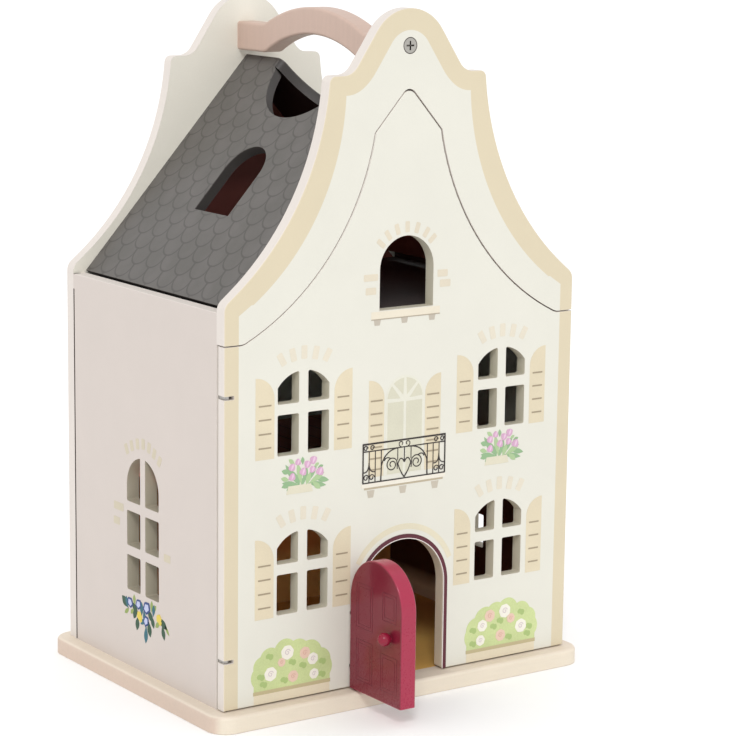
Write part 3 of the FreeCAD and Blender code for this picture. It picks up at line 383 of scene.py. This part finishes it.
def base_board():
    """Pale wood with the ground floor's ochre print between the walls."""
    f = Finish("base_board", coat=0.08, coat_roughness=0.4)
    colour = f.mix(facing(f, f.ny, -1), ink("CCB8A8"), ink("DDD2C0"))
    colour = f.mix(facing(f, f.nz), colour, ink("DACDBC"))
    inside = f.both(f.less(f.off(f.x), SIDE - BOARD + 0.2), f.less(f.off(f.y), FRONT - BOARD + 0.6),
                    facing(f, f.nz))
    colour = f.mix(inside, colour, ink("D9AC5C"))
    edge_wear_and_highlight = f.edge_wear_and_highlight(colour, ink("D8C7B6"), reach=0.0006, amount=1.0)
    return f.done(edge_wear_and_highlight, rough=(0.5, 0.65), grain=(4, 40, 40), tone=0.04)


def floor_boards(name, code, line):
    """Printed planks: dark joints from front to back, one every plank's width."""
    f = Finish(name, coat=0.1, coat_roughness=0.4)
    from_middle = f.off(f.math("SUBTRACT", wrapped(f, f.x, PLANK), PLANK / 2))
    joint = f.over(from_middle, PLANK / 2 - 0.4)
    top = f.mix(f.math("MULTIPLY", joint, facing(f, f.nz)), ink(code), ink(line))
    return f.done(top, rough=(0.45, 0.6), grain=(40, 3, 40), tone=0.08)


def door_gloss():
    """Deep red lacquer with painted highlights: lighter on the door's edges than on its broad faces, and
    lighter again along its arrises.
    """
    f = Finish("crimson_gloss", coat=0.35, coat_roughness=0.1, ior=1.35)
    # Painted highlight: faces not square to x, the door's edges, get a lighter red than its broad faces.
    colour = f.mix(f.span(f.off(f.nx), 0.5, 0.9), ink("A02644"), ink("741A2D"))
    # Painted highlight along the arrises.
    edge_wear_and_highlight = f.edge_wear_and_highlight(colour, ink("B8445E"), reach=0.0009, amount=0.7)
    return f.done(edge_wear_and_highlight, rough=(0.26, 0.38), grain=(4, 4, 4), tone=0.06, depth=0.00001)


def screw_head():
    """Nickel head with a painted dark reflection on its rim and painted shade in its cross recess."""
    f = Finish("screw_nickel", metallic=1.0, coat=0.0)
    out = f.distance(f.x, f.math("SUBTRACT", f.z, SCREW_HEIGHT))
    # Painted dark reflection on the outer part of the head's face.
    rim = f.both(f.over(out, 4.7), facing(f, f.off(f.ny)))
    # Painted shade in the cross recess.
    recess_shade = f.less(f.off(f.y), FRONT - 0.15)
    colour = f.mix(f.math("MAXIMUM", rim, recess_shade), ink("B9B6AF"), ink("47433E"))
    rings = f.span(f.math("SINE", f.math("MULTIPLY", out, 9.0)), -1.0, 1.0, 0.0, 0.35)
    return f.done(f.mix(rings, colour, ink("8C8983")), rough=(0.18, 0.3), grain=(20, 20, 20), tone=0.1,
                  depth=0.00002)


steel = plain("rolled_steel", "B0AEAA", rough=(0.28, 0.42), coat=0.0, grain=(60, 4, 4), tone=0.1, metallic=1.0)
nickel = plain("nickel_plate", "C9C6C0", rough=(0.16, 0.28), coat=0.0, grain=(20, 20, 20), tone=0.06,
               metallic=1.0)
beech = plain("beech_dowel", "B08C62", rough=(0.55, 0.7), coat=0.0, grain=(3, 60, 60), tone=0.2)
knob_gloss = plain("knob_gloss", "8A1733", rough=(0.2, 0.3), coat=0.3, coat_roughness=0.1, grain=(4, 4, 4),
                   tone=0.06, depth=0.00002, ior=1.3)
LOOKS = {
    "base_plate": base_board(),
    "left_side_wall": side_board("side_paint"),
    "back_gable": back_board("back_paint"),
    "front_gable": front_board("gable_paint"),
    "front_panel": front_board("facade_paint"),
    "left_roof_panel": roof_board("roof_print"),
    "first_floor": floor_boards("first_floor_print", "C8705A", "8A4638"),
    "attic_floor": floor_boards("attic_floor_print", "2E211E", "1E1513"),
    "handle": plain("handle_paint", "C0A698", rough=(0.42, 0.55), coat=0.2, edge_colour="CDB6A8"),
    "entrance_door": door_gloss(),
    "door_knob": knob_gloss,
    "catch_magnets": nickel,
    "handle_screws": screw_head(),
    "base_screws": nickel,
    "catch_plates": steel,
    "facade_hinge_leaves": steel,
    "door_hinge_leaves": steel,
    "facade_hinge_pins": steel,
    "door_hinge_pin": steel,
}
LOOKS["right_side_wall"] = LOOKS["left_side_wall"]
LOOKS["right_roof_panel"] = LOOKS["left_roof_panel"]
for dowels in ("back_dowels", "front_dowels", "roof_dowels", "first_floor_dowels", "attic_floor_dowels"):
    LOOKS[dowels] = beech
for name, node in nodes.items():
    for slot in node.material_slots:
        slot.material = LOOKS[name]


# ---------------------------------------------------------------- printed decoration

def on_front(a, b, lift):
    return Vector((a, -FRONT - lift, b)) * MM


def on_left(a, b, lift):
    return Vector((-SIDE - lift, -a, b)) * MM


def on_door(a, b, lift):
    return Vector((-DOOR_FACE - lift, -a, b)) * MM


class Print:
    """Thin closed pieces of one printed colour on one board.

    Higher levels lie over lower ones, and each piece lies over the last. Heights are in millimetres.
    """

    foot = 0.006
    level_height = 0.1
    piece_height = 0.002

    def __init__(self, name, place, level, body, slot, code, gloss=(0.5, 0.62), tone=0.06):
        self.name = name
        self.place = place
        self.body = body
        self.slot = slot
        self.high = self.level_height * level
        self.material = plain(name + "_ink", code, rough=gloss, tone=tone, coat=0.1, grain=(4, 4, 4))
        self.bm = bmesh.new()

    def flat(self, outline):
        self.high += self.piece_height
        top = [self.bm.verts.new(self.place(a, b, self.high)) for a, b in outline]
        under = [self.bm.verts.new(self.place(a, b, self.foot)) for a, b in outline]
        self.bm.faces.new(top)
        self.bm.faces.new(under[::-1])
        for i in range(len(outline)):
            j = (i + 1) % len(outline)
            self.bm.faces.new((top[i], under[i], under[j], top[j]))

    def line(self, points, width, closed=False):
        self.high += self.piece_height
        count = len(points)
        stations = []
        for i, (a, b) in enumerate(points):
            before = points[i - 1] if i or closed else points[i]
            after = points[(i + 1) % count] if i < count - 1 or closed else points[i]
            along = Vector((after[0] - before[0], after[1] - before[1])).normalized() * (width / 2)
            side = (-along.y, along.x)
            corners = [self.place(a + sign * side[0], b + sign * side[1], height)
                       for sign, height in ((1, self.high), (-1, self.high), (-1, self.foot), (1, self.foot))]
            stations.append([self.bm.verts.new(corner) for corner in corners])
        pairs = list(zip(stations, stations[1:])) + ([(stations[-1], stations[0])] if closed else [])
        for one, two in pairs:
            for k in range(4):
                self.bm.faces.new((one[k], one[(k + 1) % 4], two[(k + 1) % 4], two[k]))
        if not closed:
            self.bm.faces.new(stations[0])
            self.bm.faces.new(stations[-1][::-1])

    def bar(self, a0, b0, a1, b1):
        self.flat([(a0, b0), (a1, b0), (a1, b1), (a0, b1)])

    def finish(self):
        bmesh.ops.recalc_face_normals(self.bm, faces=self.bm.faces)
        mesh = bpy.data.meshes.new(self.name)
        self.bm.to_mesh(mesh)
        self.bm.free()
        mesh.materials.append(self.material)
        piece = bpy.data.objects.new(self.name, mesh)
        bpy.context.scene.collection.objects.link(piece)
        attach(piece, self.body)


def turned(points, a, b, angle):
    c, s = math.cos(angle), math.sin(angle)
    return [(a + c * p - s * q, b + s * p + c * q) for p, q in points]


def oval(a, b, across, up, angle=0.0, petals=0, dent=0.0, count=36):
    """An ellipse, scalloped into petals where there are any."""
    points = []
    for i in range(count):
        t = 2 * math.pi * i / count
        swell = 1 - dent * abs(math.cos(petals * t / 2)) if petals else 1.0
        points.append((across * swell * math.cos(t), up * swell * math.sin(t)))
    return turned(points, a, b, angle)


def brick(a, b, across, up, degrees):
    """A brick with clipped corners, turned clockwise."""
    p, q, clip = across / 2, up / 2, 0.5
    corners = [(p - clip, -q), (p, -q + clip), (p, q - clip), (p - clip, q),
               (-p + clip, q), (-p, q - clip), (-p, -q + clip), (-p + clip, -q)]
    return turned(corners, a, b, math.radians(-degrees))


def leaf(tip, root, width):
    """A pointed leaf from its root to its tip."""
    run = Vector((tip[0] - root[0], tip[1] - root[1]))
    side = Vector((-run.y, run.x)).normalized() * (width / 2)
    steps = [i / 8 for i in range(9)]

    def edge(t, sign):
        swell = sign * math.sin(math.pi * t ** 1.2)
        return (root[0] + run.x * t + side.x * swell, root[1] + run.y * t + side.y * swell)

    return [edge(t, 1) for t in steps] + [edge(t, -1) for t in steps[-2:0:-1]]


def arc(a, b, radius, start, stop, count=24):
    turn = [math.radians(start + (stop - start) * i / count) for i in range(count + 1)]
    return [(a + radius * math.cos(t), b + radius * math.sin(t)) for t in turn]


def curl(a, b, outer, inner, start, stop, count):
    """A spiral from its outer radius to its inner one."""
    points = []
    for i in range(count + 1):
        radius = outer + (inner - outer) * i / count
        turn = math.radians(start + (stop - start) * i / count)
        points.append((a + radius * math.cos(turn), b + radius * math.sin(turn)))
    return points


def bend(start, control, stop, count):
    """A curve from start to stop, drawn towards control."""
    points = []
    for i in range(count + 1):
        t = i / count
        points.append(tuple((1 - t) ** 2 * s + 2 * t * (1 - t) * c + t * t * e
                            for s, c, e in zip(start, control, stop)))
    return points


FACADE = dict(place=on_front, body="facade", slot="facade_paint")
WALL = dict(place=on_left, body="house", slot="wall_paint")
DOOR = dict(place=on_door, body="door", slot="door_paint")


def finish(*prints):
    for each in prints:
        each.finish()


def print_shutters():
    """Louvred shutters, each rounded at its outer corner. The balcony's reach down behind its railing."""
    shutters = Print("shutter_prints", level=1, code="D5C9AE", **FACADE)
    slats = Print("slat_prints", level=2, code="9C8F78", **FACADE)

    def shutter(outer, inner, sill, height, slat_levels, inset):
        wide = inner - outer
        drop = abs(wide)
        top = sill + height
        curve = [(outer + wide * math.sin(math.pi * i / 20), top - drop + drop * math.cos(math.pi * i / 20))
                 for i in range(10, -1, -1)]
        shutters.flat([(outer, sill), (inner, sill)] + curve)
        inset = math.copysign(inset, wide)
        for level in slat_levels:
            slats.bar(outer + inset, level - 0.5, inner - inset, level + 0.5)

    for sill, levels in ((169.0, (176.2, 185.1, 194.0, 202.8)), (67.0, (74.2, 83.3, 92.3, 101.3))):
        for outer, inner in ((-112.6, -98.8), (-40.8, -54.3), (41.0, 54.3), (113.5, 100.8)):
            shutter(outer, inner, sill, 51.5, levels, 2.3)
    for outer, inner in ((-28.0, -16.1), (28.2, 15.9)):
        shutter(outer, inner, 148.0, 62.7, (152.8, 160.0, 167.2, 174.4, 181.6, 188.9, 197.3), 1.4)
    finish(shutters, slats)


def course(bricks, boxes):
    """Level bricks, each given by its left, right, low and high side."""
    for left, right, low, high in boxes:
        bricks.flat(brick((left + right) / 2, (low + high) / 2, right - left, high - low, 0))


def print_bricks():
    """Arched courses of brick over the windows, and a few beside the attic's."""
    bricks = Print("brick_prints", level=1, code="D8D0BE", **FACADE)
    arched = ((-16.6, 0.0, -30), (-8.3, 2.2, -13), (0.0, 3.3, 0), (8.6, 2.2, 12), (17.2, 0.0, 29))
    for middle in (-77.0, 77.5):
        for base in (230.6, 128.4):
            for step, rise, lean in arched:
                bricks.flat(brick(middle + step, base + rise, 4.3, 8.5, lean))
    attic_bricks = Print("attic_brick_prints", level=1, code="D6CCB8", **FACADE)
    arch_radius = 26.3
    arch_middle = 280.5
    for degrees in (-50, -34, -17, 0, 17, 34, 48):
        lean = math.radians(degrees)
        attic_bricks.flat(brick(arch_radius * math.sin(lean), arch_middle + arch_radius * math.cos(lean),
                                3.3, 7.0, degrees))
    course(attic_bricks, ((-33.0, -22.3, 274.2, 278.5), (-31.5, -23.5, 265.5, 270.0),
                          (24.0, 32.0, 273.0, 277.5), (26.0, 34.3, 266.3, 271.0)))
    finish(bricks, attic_bricks)


def print_door_panels():
    """Faint panels on the door's outer face, each a frame inside another."""
    panels = Print("door_panel_print", level=1, code="66162A", gloss=(0.28, 0.4), **DOOR)
    for left, right, low, high in ((109.0, 126.5, 20.0, 47.0), (136.0, 153.5, 20.0, 44.0),
                                   (109.0, 126.5, 55.0, 84.0), (137.5, 152.0, 66.0, 84.0)):
        for inset, width in ((0.0, 0.5), (2.2, 0.3)):
            panels.line([(left + inset, low + inset), (right - inset, low + inset),
                         (right - inset, high - inset), (left + inset, high - inset)], width, closed=True)
    finish(panels)


def print_attic_sill():
    """The attic window's ledge, the line under it and its three brackets."""
    ledge = Print("attic_sill_print", level=1, code="DED5C2", **FACADE)
    ledge.bar(-27.0, 249.3, 26.3, 254.3)
    brackets = Print("attic_bracket_prints", level=1, code="B9B0A2", **FACADE)
    for left in (-25.0, -4.0, 17.5):
        brackets.flat([(left + 0.6, 245.6), (left + 4.6, 245.6), (left + 5.3, 249.2), (left, 249.2)])
    shadow = Print("attic_sill_line", level=2, code="A89C8A", **FACADE)
    shadow.bar(-27.0, 249.1, 26.3, 249.7)
    finish(ledge, brackets, shadow)


def print_balcony():
    """The balcony's arched window, its slab and the slab's brackets."""
    frame_print = Print("balcony_frame_print", level=1, code="DAD8CA", **FACADE)
    half = 14.8
    low = 148.0
    springing = 197.0
    frame_print.flat([(-half, low), (half, low), (half, springing)] + arc(0, springing, half, 0, 180))
    panes = Print("balcony_pane_prints", level=2, code="CDCAB6", **FACADE)
    for side in (-1, 1):
        panes.bar(side * 1.1, low + 0.4, side * 13.4, 194.8)
        for start, stop, inner_end in ((4, 41, (3.6, springing)), (49, 86, (1.5, 199.2))):
            rim = arc(0, 196.6, 13.6, start, stop, 10)
            panes.flat([(side * a, b) for a, b in [inner_end] + rim])
    slab = Print("balcony_slab_print", level=2, code="E4DED0", **FACADE)
    slab.bar(-33.0, 141.5, 32.5, 144.3)
    slab_under = Print("balcony_slab_shadow", level=1, code="B4A78F", **FACADE)
    slab_under.bar(-31.0, 140.2, 31.0, 141.6)
    supports = Print("balcony_bracket_prints", level=1, code="BFB6A6", **FACADE)
    for left in (-28.8, -3.8, 21.6):
        supports.flat([(left + 1.0, 134.8), (left + 5.0, 134.8), (left + 6.0, 139.6), (left, 139.6)])
    finish(frame_print, panes, slab, slab_under, supports)


def print_railing():
    """Wrought-iron rails, posts and scrolls, the scrolls mirrored about the middle."""
    railing = Print("balcony_railing_print", level=3, code="2A2220", **FACADE)
    lower_rail = 144.6
    upper_rail = 165.0
    for low, high, right in ((169.3, 170.4, 32.6), (164.7, 165.4, 32.4), (144.2, 145.0, 32.4)):
        railing.bar(-32.3, low, right, high)
    for post in (-32.0, 32.2):
        railing.bar(post - 0.45, lower_rail, post + 0.45, 170.0)
    for post in (-27.3, -22.6, -18.0, 18.2, 22.8, 27.5):
        railing.bar(post - 0.3, lower_rail, post + 0.3, upper_rail)
    for side in (-1, 1):
        hand = 90 - side * 90
        scroll = (side * 9.6, 154.4)
        arch = bend((side * 17.8, 155.0), (side * 14.6, 164.9), (side * 4.0, upper_rail), 14)
        railing.line([(side * 18.2, 145.0)] + arch, 0.8)
        railing.line(curl(*scroll, 4.3, 1.2, hand + side * 75, hand - side * 420, 40), 0.7)
        tail = curl(*scroll, 4.3, 4.3, hand + side * 75, hand + side * 150, 8)
        railing.line(tail + [(side * 5.4, 151.2)], 0.7)
        railing.line(bend((side * 10.7, 158.6), (side * 14.2, 160.6), (side * 15.6, 157.6), 8), 0.7)
        heart_top = bend((0.0, 155.2), (side * 2.6, 160.4), (side * 4.9, 155.0), 10)
        heart_side = bend((side * 4.9, 154.2), (side * 3.4, 149.6), (0.0, 145.4), 10)
        railing.line(heart_top + heart_side, 0.75)
        railing.line(curl(side * 2.5, 167.4, 2.0, 0.9, -90, -90 + side * 330, 18), 0.6)
        for spot, height, radius in ((25.0, 167.2, 1.7), (30.0, 167.2, 1.7),
                                     (25.3, 148.0, 2.1), (29.7, 148.0, 2.1)):
            railing.line(curl(side * spot, height, radius, 0.8, 0, 400, 20), 0.6)
        for start, control in ((23.0, 27.2), (31.8, 27.6)):
            railing.line(bend((side * start, 151.6), (side * control, 151.0), (side * 27.4, 157.6), 8), 0.65)
        low, high = sorted((side * 4.9, side * 5.5))
        railing.bar(low, 157.0, high, upper_rail)
    railing.bar(-0.3, 155.4, 0.3, upper_rail)
    finish(railing)


def print_doorway():
    """Dark line round the doorway, a thin painted highlight inside it along the doorway's rounded edge, and a
    pale arch over both.
    """
    foot = 11.8
    surround = Print("doorway_line_print", level=2, code="561A2A", **FACADE)
    # Painted highlight: a thin light line along the rounded edge of the doorway.
    thin = Print("doorway_edge_highlight", level=3, code="E8E2DC", **FACADE)
    for ring, radius, width in ((surround, 34.8, 2.7), (thin, 33.2, 0.5)):
        ring.line([(radius, foot)] + arc(0, 71.2, radius, 0, 180, 40) + [(-radius, foot)], width)
    arch = Print("doorway_arch_print", level=1, code="D9D1B8", **FACADE)
    arch.line(arc(0, 72.0, 40.4, 22, 150, 40), 3.8)
    finish(surround, thin, arch)


# The left flower box: its planter's corners, each bloom's place and size, each leaf's tip and root.
BOX_STEP = 154.6
PLANTER = ((-89.7, 144.8), (-70.0, 144.8), (-71.4, 150.0), (-88.3, 150.0))
BLOOMS = ((-81.2, 164.6, 1.9), (-85.7, 161.7, 2.2), (-85.5, 155.6, 2.2), (-77.4, 158.1, 2.3),
          (-74.1, 162.5, 2.2), (-69.7, 164.8, 2.3), (-70.3, 158.8, 2.0), (-64.7, 156.9, 2.5))
LEAVES = (((-88.0, 167.1), (-83.7, 163.5)), ((-77.8, 167.7), (-77.6, 162.5)), ((-93.3, 160.4), (-87.0, 158.3)),
          ((-93.7, 155.6), (-87.8, 154.0)), ((-93.3, 149.8), (-85.3, 152.0)), ((-89.5, 147.3), (-83.3, 150.8)),
          ((-65.5, 162.5), (-69.0, 160.4)), ((-62.2, 160.6), (-66.6, 159.2)), ((-57.8, 150.4), (-68.7, 152.9)),
          ((-64.3, 145.8), (-70.3, 150.8)), ((-82.5, 157.0), (-80.0, 149.5)), ((-76.0, 155.0), (-78.5, 149.5)),
          ((-72.0, 157.0), (-75.0, 149.5)), ((-90.5, 164.0), (-82.0, 151.0)), ((-86.0, 160.0), (-80.5, 150.0)),
          ((-81.5, 164.0), (-78.5, 150.0)), ((-74.5, 161.0), (-77.0, 150.0)), ((-67.0, 162.0), (-75.0, 150.0)),
          ((-61.5, 156.0), (-73.0, 150.0)), ((-93.0, 152.5), (-80.0, 150.0)), ((-60.0, 147.5), (-74.0, 150.5)))


def print_flower_boxes():
    """Boxes of pink flowers under the upper windows. Every third leaf is pale."""
    dark_leaves = Print("flower_box_leaves", level=1, code="8DAE84", **FACADE)
    pale_leaves = Print("flower_box_pale_leaves", level=2, code="A6BF90", **FACADE)
    planters = Print("flower_box_prints", level=2, code="D6D0BA", **FACADE)
    blossoms = Print("flower_box_blossoms", level=3, code="CDA2BE", **FACADE)
    petals = Print("flower_box_blossom_petals", level=4, code="DDBCD2", **FACADE)
    for shift in (0.0, BOX_STEP):
        planters.flat([(a + shift, b) for a, b in PLANTER])
        for i, (tip, root) in enumerate(LEAVES):
            width = min(0.5 * math.dist(tip, root), 3.6)
            leaves = dark_leaves if i % 3 else pale_leaves
            leaves.flat(leaf((tip[0] + shift, tip[1]), (root[0] + shift, root[1]), width))
        for a, b, r in BLOOMS:
            blossoms.flat(oval(a + shift, b, 1.2 * r, 1.25 * r, a, 3, 0.2))
            petals.flat(leaf((a + shift + 0.5 * r, b + r), (a + shift - 0.3 * r, b - 0.9 * r), 0.7 * r))
    finish(dark_leaves, pale_leaves, planters, blossoms, petals)


# A clipped bush: the place and radius of each round clump, from the middle of its box.
CLUMPS = ((-22.5, 29.5, 8.2), (-22.0, 36.0, 7.0), (-16.5, 40.3, 7.6), (-5.2, 43.6, 8.4), (4.4, 42.0, 8.4),
          (13.2, 39.2, 9.2), (21.5, 29.0, 8.8), (20.5, 33.5, 8.6), (0.0, 33.0, 12.0), (10.0, 31.0, 10.0),
          (-10.0, 31.0, 10.0))


def print_bushes():
    """Clipped rose bushes in boxes on both sides of the door."""
    bushes = Print("bush_prints", level=1, code="C1CD92", tone=0.14, **FACADE)
    boxes = Print("bush_box_prints", level=1, code="DACFB6", **FACADE)
    rims = Print("bush_box_rims", level=2, code="B8AB85", **FACADE)
    tufts = Print("bush_leaf_prints", level=2, code="A2B774", **FACADE)
    white_roses = Print("white_rose_prints", level=3, code="E6E2D6", **FACADE)
    pink_roses = Print("pink_rose_prints", level=3, code="DCBEAC", **FACADE)
    petals = Print("rose_petal_prints", level=4, code="C9BBBE", **FACADE)
    pink_petals = Print("pink_rose_petal_prints", level=4, code="CFA596", **FACADE)

    def bush(middle, sign, whites, pinks, leaf_spots):
        for across, up, r in CLUMPS:
            bushes.flat(oval(middle + sign * across, up, r, r))
        bushes.bar(middle - 28.6, 20.0, middle + 28.6, 27.5)
        boxes.bar(middle - 28.5, 12.2, middle + 28.5, 18.4)
        rims.bar(middle - 29.0, 18.2, middle + 29.0, 20.6)
        for a, b in leaf_spots:
            tufts.flat(oval(a - 0.9, b + 0.5, 1.9, 1.6, 0.5))
            tufts.flat(oval(a + 1.1, b - 0.3, 1.7, 2.0, -0.4))
        for roses, inks, centres in ((whites, white_roses, petals), (pinks, pink_roses, pink_petals)):
            for a, b, r in roses:
                inks.flat(oval(a, b, r, r, a, 7, 0.07, 56))
                centres.line(curl(a, b, 0.45 * r, 0.08 * r, 20, 480, 28), 0.11 * r)

    bush(-84.5, 1, ((-88.2, 42.8, 4.8), (-100.7, 30.6, 4.7), (-69.0, 35.7, 4.0), (-68.0, 25.6, 3.5)),
         ((-75.0, 40.5, 4.0), (-92.5, 37.0, 2.9), (-83.8, 26.5, 3.9)),
         ((-101.5, 42.0), (-84.5, 35.8), (-76.5, 32.5), (-61.8, 32.8), (-108.0, 29.5), (-106.0, 24.5),
          (-90.5, 25.0), (-62.0, 24.3)))
    bush(81.5, -1, ((84.3, 43.3, 4.8), (98.0, 31.0, 4.8), (65.7, 35.8, 4.1), (64.3, 25.9, 3.7)),
         ((71.8, 41.7, 4.3), (81.0, 27.0, 4.1), (89.5, 37.5, 3.4)),
         ((98.0, 40.5), (80.5, 37.0), (75.0, 33.8), (58.0, 33.5), (105.0, 29.5), (103.5, 24.8),
          (88.0, 24.8), (58.0, 24.3)))
    finish(bushes, boxes, rims, tufts, white_roses, pink_roses, petals, pink_petals)


# The garland's leaves, each by its tip, root and width.
DARK_LEAVES = (((-27.5, 56.5), (-19.0, 50.0), 6.0), ((-14.0, 55.0), (-6.0, 47.5), 5.0),
               ((-8.0, 37.5), (-6.5, 47.5), 5.0), ((6.5, 54.5), (13.5, 47.0), 5.0),
               ((9.5, 37.0), (7.0, 47.5), 5.4), ((31.0, 47.5), (19.5, 53.0), 5.0),
               ((27.5, 39.5), (24.5, 49.0), 4.6), ((-12.0, 44.5), (-9.0, 52.0), 4.6),
               ((14.0, 44.0), (11.0, 52.0), 4.4))
PALE_LEAVES = (((-11.5, 61.0), (-11.0, 53.0), 3.4), ((11.5, 62.0), (11.0, 54.0), 3.4),
               ((17.0, 60.0), (12.5, 54.5), 3.0), ((-24.0, 45.5), (-18.0, 49.8), 3.0),
               ((16.0, 45.5), (22.0, 50.3), 3.4), ((33.5, 44.0), (27.5, 50.0), 2.4),
               ((-16.0, 47.0), (-12.0, 51.0), 3.0))
TEAL_LEAVES = (((3.5, 31.5), (4.2, 43.5), 4.6), ((-2.0, 58.0), (-1.5, 49.0), 4.4),
               ((-22.0, 57.5), (-19.5, 49.5), 3.6), ((14.4, 60.0), (13.0, 51.5), 3.6),
               ((1.0, 53.0), (4.0, 41.0), 3.8), ((-3.0, 43.0), (4.0, 48.0), 3.4))


def print_garland():
    """Leaves with blue and yellow flowers under the side wall's window."""
    dark = Print("garland_leaf_prints", level=1, code="234A32", **WALL)
    pale = Print("garland_pale_leaf_prints", level=1, code="8A9C52", **WALL)
    teal = Print("garland_teal_leaf_prints", level=2, code="23616E", **WALL)
    blue = Print("garland_flower_rims", level=3, code="27417A", **WALL)
    light = Print("garland_flower_prints", level=4, code="B9BFDC", **WALL)
    yellow = Print("garland_yellow_prints", level=3, code="D9C24E", **WALL)
    for leaves, shapes in ((dark, DARK_LEAVES), (pale, PALE_LEAVES), (teal, TEAL_LEAVES)):
        for tip, root, width in shapes:
            leaves.flat(leaf(tip, root, width))
    for a, b, r in ((-16.5, 54.4, 3.5), (-5.6, 55.6, 3.5), (5.0, 55.6, 4.3), (4.2, 46.6, 3.4)):
        blue.flat(oval(a, b, r, 1.15 * r, b, 5, 0.14))
        light.flat(oval(a, b, 0.66 * r, 0.78 * r, b, 5, 0.2))
    for a, b in ((-4.4, 48.1), (20.6, 52.2)):
        yellow.flat(oval(a, b, 3.2, 3.4, b, 5, 0.16))
        yellow.flat(oval(a + 1.6, b - 2.2, 2.0, 2.0, b, 5, 0.16))
    finish(dark, pale, teal, blue, light, yellow)


def print_wall_bricks():
    """An arched course over the side wall's window and three bricks beside it."""
    bricks = Print("side_brick_prints", level=1, code="C6BCA6", **WALL)
    for a, b, lean in ((-20.5, 156.5, -28), (-13.8, 159.8, -18), (-6.3, 162.4, -8), (1.0, 163.5, 0),
                       (8.4, 162.4, 10), (15.0, 159.8, 18), (21.5, 156.0, 28)):
        bricks.flat(brick(a, b, 4.0, 7.0, lean))
    course(bricks, ((-37.5, -25.0, 113.5, 118.7), (-38.0, -30.0, 103.5, 108.5), (27.0, 35.0, 92.0, 97.0)))
    finish(bricks)


print_shutters()
print_bricks()
print_attic_sill()
print_balcony()
print_railing()
print_doorway()
print_flower_boxes()
print_bushes()
print_garland()
print_wall_bricks()
print_door_panels()


# ---------------------------------------------------------------- floor, light and camera

def lay_floor():
    mesh = bpy.data.meshes.new("studio_floor")
    ground = bmesh.new()
    bmesh.ops.create_grid(ground, x_segments=8, y_segments=8, size=20.0)
    ground.to_mesh(mesh)
    ground.free()
    paint = Finish("studio_floor")
    mesh.materials.append(paint.done(ink("F8F8F8"), rough=(0.85, 0.95), grain=(4, 4, 4), tone=0.004,
                                     depth=0.00001, fine=60.0))
    studio_floor = bpy.data.objects.new("studio_floor", mesh)
    bpy.context.scene.collection.objects.link(studio_floor)
    studio_floor.location.z = -0.0002


def light_studio():
    """White all round, and a soft sun from the left, the front and above."""
    world = bpy.data.worlds.new("studio")
    bpy.context.scene.world = world
    world.use_nodes = True
    sky = world.node_tree.nodes["Background"]
    sky.inputs["Color"].default_value = (1.0, 1.0, 1.0, 1.0)
    sky.inputs["Strength"].default_value = 1.0
    sun = bpy.data.lights.new("key", "SUN")
    sun.energy = 1.05
    sun.angle = math.radians(14)
    lamp = bpy.data.objects.new("key", sun)
    bpy.context.scene.collection.objects.link(lamp)
    lamp.rotation_euler = Vector((1.6, 2.2, -2.4)).to_track_quat("-Z", "Y").to_euler()


def place_camera():
    yaw, tilt, roll = math.radians(34.837), math.radians(-10.822), math.radians(0.7176)
    ahead = Vector((math.sin(yaw) * math.cos(tilt), math.cos(yaw) * math.cos(tilt), math.sin(tilt)))
    right = Vector((math.cos(yaw), -math.sin(yaw), 0))
    above = right.cross(ahead)
    across = right * math.cos(roll) + above * math.sin(roll)
    upward = above * math.cos(roll) - right * math.sin(roll)
    lens = bpy.data.cameras.new("camera")
    lens.lens = 127.2
    lens.sensor_width = 36
    lens.clip_end = 100
    camera = bpy.data.objects.new("camera", lens)
    bpy.context.scene.collection.objects.link(camera)
    camera.matrix_world = Matrix((across, upward, -ahead)).transposed().to_4x4()
    camera.location = (-0.9473, -1.4194, 0.5264)
    bpy.context.scene.camera = camera


lay_floor()
light_studio()
place_camera()
bpy.context.scene.view_settings.view_transform = "Standard"
